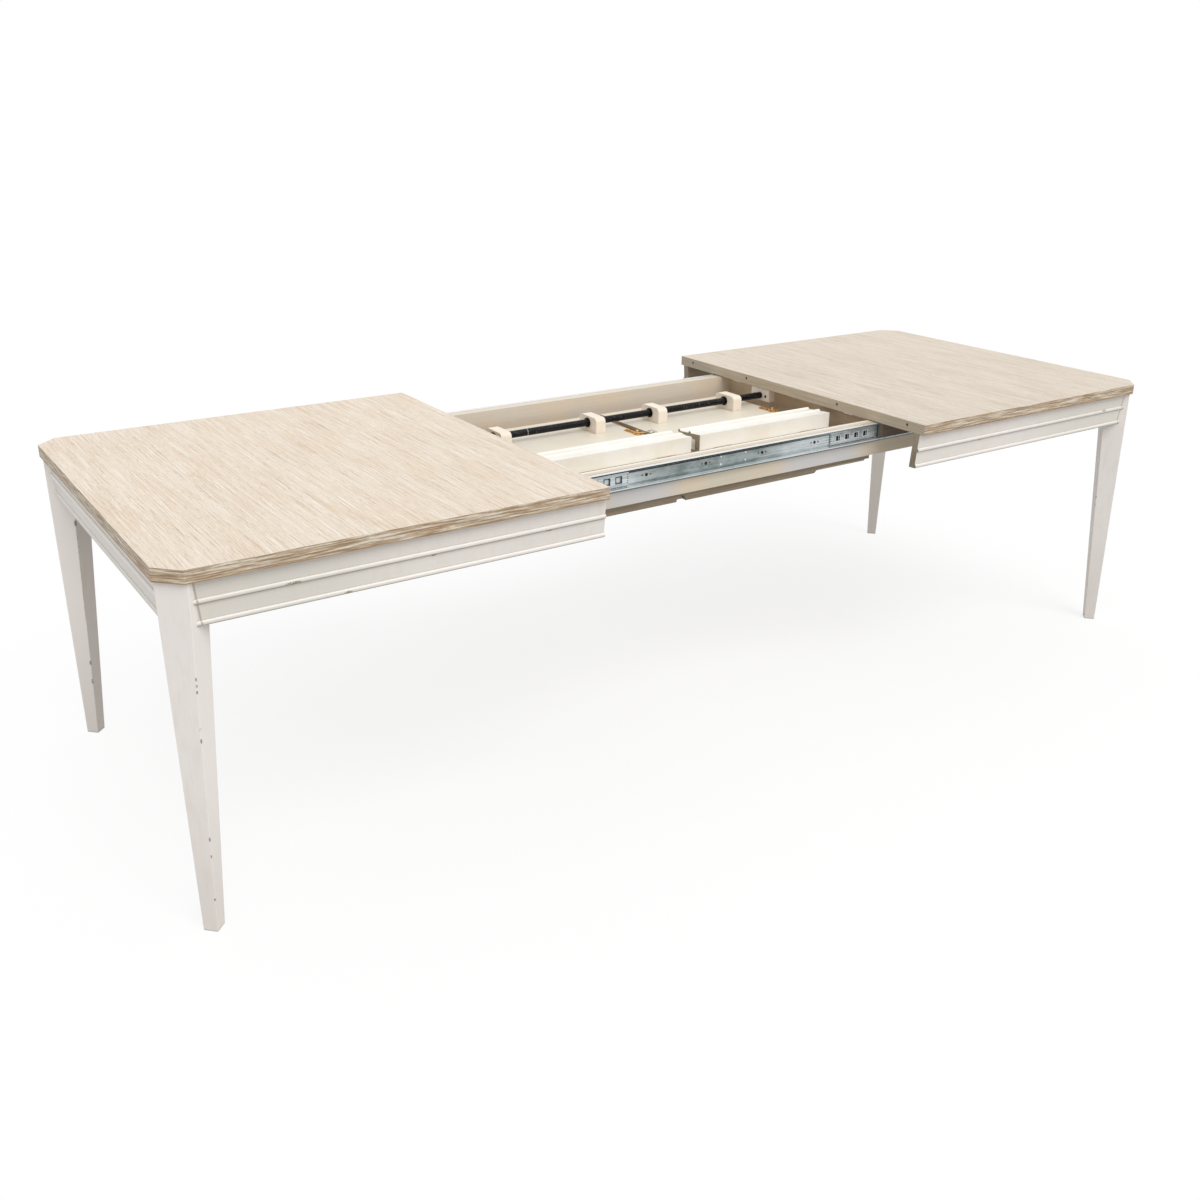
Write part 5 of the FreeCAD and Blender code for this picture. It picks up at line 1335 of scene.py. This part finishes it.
brass_finish = aged_brass("aged_brass")
plate_screw_head = cross_head(*PLATE_SCREW)
keeper_screw_head = cross_head(*KEEPER_SCREW)
for leaf in LEAVES:
    wear(brass_finish, *(f"{leaf}_{part}" for part in BRASS_NODES))
    low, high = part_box(leaf + "_catch_plate")
    lever_low, lever_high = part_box(leaf + "_catch_lever")
    centre_x = (low[0] + high[0]) / 2
    half_wide = (high[0] - low[0]) / 2
    rivet_y = high[1] - half_wide
    plate_top = low[2] + PLATE_THICK
    lever_rise = lever_high[2] - plate_top
    rivet_rise = high[2] - plate_top

    plate = bmesh.new()
    spine = [(centre_x, low[1] + half_wide), (centre_x, rivet_y)]
    flat_bar(plate, round_bar(spine, (half_wide, half_wide), PLATE_END_STEPS), low[2], plate_top)
    head_radius, arris_radius, crown_radius = RIVET_HEAD_RADII
    rivet = [
        (RIVET_RADIUS, 0),
        (RIVET_RADIUS, lever_rise),
        (head_radius, lever_rise + RIVET_PLAY),
        (arris_radius, rivet_rise - RIVET_ARRIS),
        (crown_radius, rivet_rise),
        (0, rivet_rise),
    ]
    turned(plate, (centre_x, rivet_y, plate_top), (0, 0, 1), rivet)
    for across, back in PLATE_SCREW_SPOTS:
        screw_y = rivet_y - back
        centre = Vector((centre_x + across, screw_y, plate_top))
        stamp(plate, plate_screw_head, centre, (0, 0, 1), screw_y * PLATE_SCREW_TWIST)
    catch_base = made_of(leaf + "_catch_base", plate, brass_finish, leaf)
    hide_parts(leaf + "_catch_plate")

    lever = bmesh.new()
    finger_y = lever_low[1] + FINGER_INSET
    bend = [(centre_x + across, rivet_y + up) for across, up in LEVER_FROM_RIVET]
    bend += [(centre_x + across, finger_y + up) for across, up in LEVER_BY_FINGER]
    bend.append((lever_high[0] - TIP_INSET, finger_y))
    flat_bar(lever, round_bar(bend, LEVER_HALF_WIDTHS, LEVER_END_STEPS), lever_low[2], lever_high[2])
    knob_centre = (centre_x + KNOB_SPOT[0], finger_y + KNOB_SPOT[1], lever_high[2])
    turned(lever, knob_centre, (0, 0, 1), KNOB_PROFILE)
    catch_arm = made_of(leaf + "_catch_arm", lever, brass_finish, leaf + "_catch")
    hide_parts(leaf + "_catch_lever")

    keeper_screws = bmesh.new()
    keeper_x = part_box(leaf + "_upper_panel")[0][0] + KEEPER_SCREW_INSET
    for across in (-KEEPER_SCREW_REACH, KEEPER_SCREW_REACH):
        centre = Vector((keeper_x, finger_y + across, plate_top))
        stamp(keeper_screws, keeper_screw_head, centre, (0, 0, 1), KEEPER_SCREW_TWIST)
    made_of(leaf + "_keeper_screws", keeper_screws, oxide_finish, leaf)

# Floor, light and camera
# A white studio floor under an even sky with one broad soft lamp above the near side. The
# camera stands at the near left, a little above the table.
FLOOR_REACH = 40.0
FLOOR_SQUARES = 8
FLOOR_ROUGHNESS = 0.9
FLOOR_WHITE = (252, 252, 252)
FLOOR_BOUNCE = (180, 180, 178)
SHADOW_SHARE = 0.30
SHADOW_SHARE_OUTSIDE = 0.08
SHADOW_REACH = (0.6, 2.0)
SHADOW_CENTRE = (0.2, -0.5, 0.0)
SKY_STRENGTH = 0.72
SKY_WHITE = (1, 1, 1, 1)
KEY_STRENGTH = 1.5
KEY_ANGLE = 40.0
KEY_AIM = Vector((-0.03, 0.62, -0.78))
CAMERA_SPOT = Vector((-1.90684, -2.56429, 1.55134))
CAMERA_YAW = 0.6124
CAMERA_TILT = 0.3591
CAMERA_ROLL = 0.0153
CAMERA_LENS_SHARE = 1.0235
CAMERA_SHIFT = (-0.01536, -0.04008)
SENSOR = 36.0
CLIP_REACHES = 4


def seen_straight(tree, rays):
    """1 for what the camera sees, also by way of metal."""
    seen = tree.nodes.new("ShaderNodeMath")
    seen.operation = "MAXIMUM"
    tree.links.new(rays.outputs["Is Camera Ray"], seen.inputs[0])
    tree.links.new(rays.outputs["Is Glossy Ray"], seen.inputs[1])
    return seen.outputs[0]


def studio_floor():
    """A floor that glows white to the camera, less so under the table to keep its shadow."""
    mesh = bpy.data.meshes.new("studio_floor")
    shape = bmesh.new()
    bmesh.ops.create_grid(shape, x_segments=FLOOR_SQUARES, y_segments=FLOOR_SQUARES, size=FLOOR_REACH)
    shape.to_mesh(mesh)
    shape.free()
    floor = bpy.data.objects.new("studio_floor", mesh)
    bpy.context.scene.collection.objects.link(floor)
    white = bpy.data.materials.new("studio_floor")
    white.use_nodes = True
    tree = white.node_tree
    nodes = tree.nodes
    links = tree.links
    shader = nodes["Principled BSDF"]
    shader.inputs["Roughness"].default_value = FLOOR_ROUGHNESS
    shader.inputs["Specular IOR Level"].default_value = 0.0
    glow = nodes.new("ShaderNodeEmission")
    rays = nodes.new("ShaderNodeLightPath")
    bounce = nodes.new("ShaderNodeMix")
    bounce.data_type = "RGBA"
    taken = {socket.identifier: socket for socket in bounce.inputs}
    given = {socket.identifier: socket for socket in bounce.outputs}
    links.new(rays.outputs["Is Diffuse Ray"], taken["Factor_Float"])
    taken["A_Color"].default_value = tone(FLOOR_WHITE)
    taken["B_Color"].default_value = tone(FLOOR_BOUNCE)
    links.new(given["Result_Color"], shader.inputs["Base Color"])
    seen = seen_straight(tree, rays)
    place = nodes.new("ShaderNodeTexCoord")
    away = nodes.new("ShaderNodeVectorMath")
    away.operation = "DISTANCE"
    away.inputs[1].default_value = SHADOW_CENTRE
    links.new(place.outputs["Object"], away.inputs[0])
    glow_share = nodes.new("ShaderNodeMapRange")
    links.new(away.outputs["Value"], glow_share.inputs["Value"])
    glow_share.inputs["From Min"].default_value = SHADOW_REACH[0]
    glow_share.inputs["From Max"].default_value = SHADOW_REACH[1]
    glow_share.inputs["To Min"].default_value = 1 - SHADOW_SHARE
    glow_share.inputs["To Max"].default_value = 1 - SHADOW_SHARE_OUTSIDE
    share = nodes.new("ShaderNodeMath")
    share.operation = "MULTIPLY"
    links.new(seen, share.inputs[0])
    links.new(glow_share.outputs[0], share.inputs[1])
    mixed = nodes.new("ShaderNodeMixShader")
    for source, socket in zip((share, shader, glow), mixed.inputs):
        links.new(source.outputs[0], socket)
    links.new(mixed.outputs[0], nodes["Material Output"].inputs["Surface"])
    mesh.materials.append(white)


def studio_sky():
    """An even sky that the camera sees as plain white."""
    world = bpy.data.worlds.new("studio_sky")
    bpy.context.scene.world = world
    world.use_nodes = True
    tree = world.node_tree
    sky = tree.nodes["Background"]
    rays = tree.nodes.new("ShaderNodeLightPath")
    seen = seen_straight(tree, rays)
    level = tree.nodes.new("ShaderNodeMapRange")
    tree.links.new(seen, level.inputs["Value"])
    level.inputs["To Min"].default_value = SKY_STRENGTH
    level.inputs["To Max"].default_value = 1.0
    sky.inputs["Color"].default_value = SKY_WHITE
    tree.links.new(level.outputs[0], sky.inputs["Strength"])


def key_lamp():
    """One broad lamp above the near side."""
    lamp = bpy.data.lights.new("key_lamp", "SUN")
    lamp.energy = KEY_STRENGTH
    lamp.angle = math.radians(KEY_ANGLE)
    key = bpy.data.objects.new("key_lamp", lamp)
    key.rotation_mode = "QUATERNION"
    key.rotation_quaternion = KEY_AIM.to_track_quat("-Z", "Y")
    bpy.context.scene.collection.objects.link(key)


def studio_camera():
    """The camera from its yaw right of +Y, its downward tilt and its small roll."""
    level = math.cos(CAMERA_TILT)
    ahead = Vector((math.sin(CAMERA_YAW) * level, math.cos(CAMERA_YAW) * level, -math.sin(CAMERA_TILT)))
    right = Vector((math.cos(CAMERA_YAW), -math.sin(CAMERA_YAW), 0))
    right = Matrix.Rotation(-CAMERA_ROLL, 3, ahead) @ right
    above = right.cross(ahead)
    lens = bpy.data.cameras.new("studio_camera")
    lens.sensor_width = SENSOR
    lens.lens = SENSOR * CAMERA_LENS_SHARE
    lens.shift_x, lens.shift_y = CAMERA_SHIFT
    lens.clip_end = CLIP_REACHES * FLOOR_REACH
    camera = bpy.data.objects.new("studio_camera", lens)
    facing = Matrix((right, above, -ahead)).transposed().to_4x4()
    camera.matrix_world = Matrix.Translation(CAMERA_SPOT) @ facing
    bpy.context.scene.collection.objects.link(camera)
    bpy.context.scene.camera = camera


studio_floor()
studio_sky()
key_lamp()
studio_camera()
bpy.context.scene.view_settings.view_transform = "Standard"
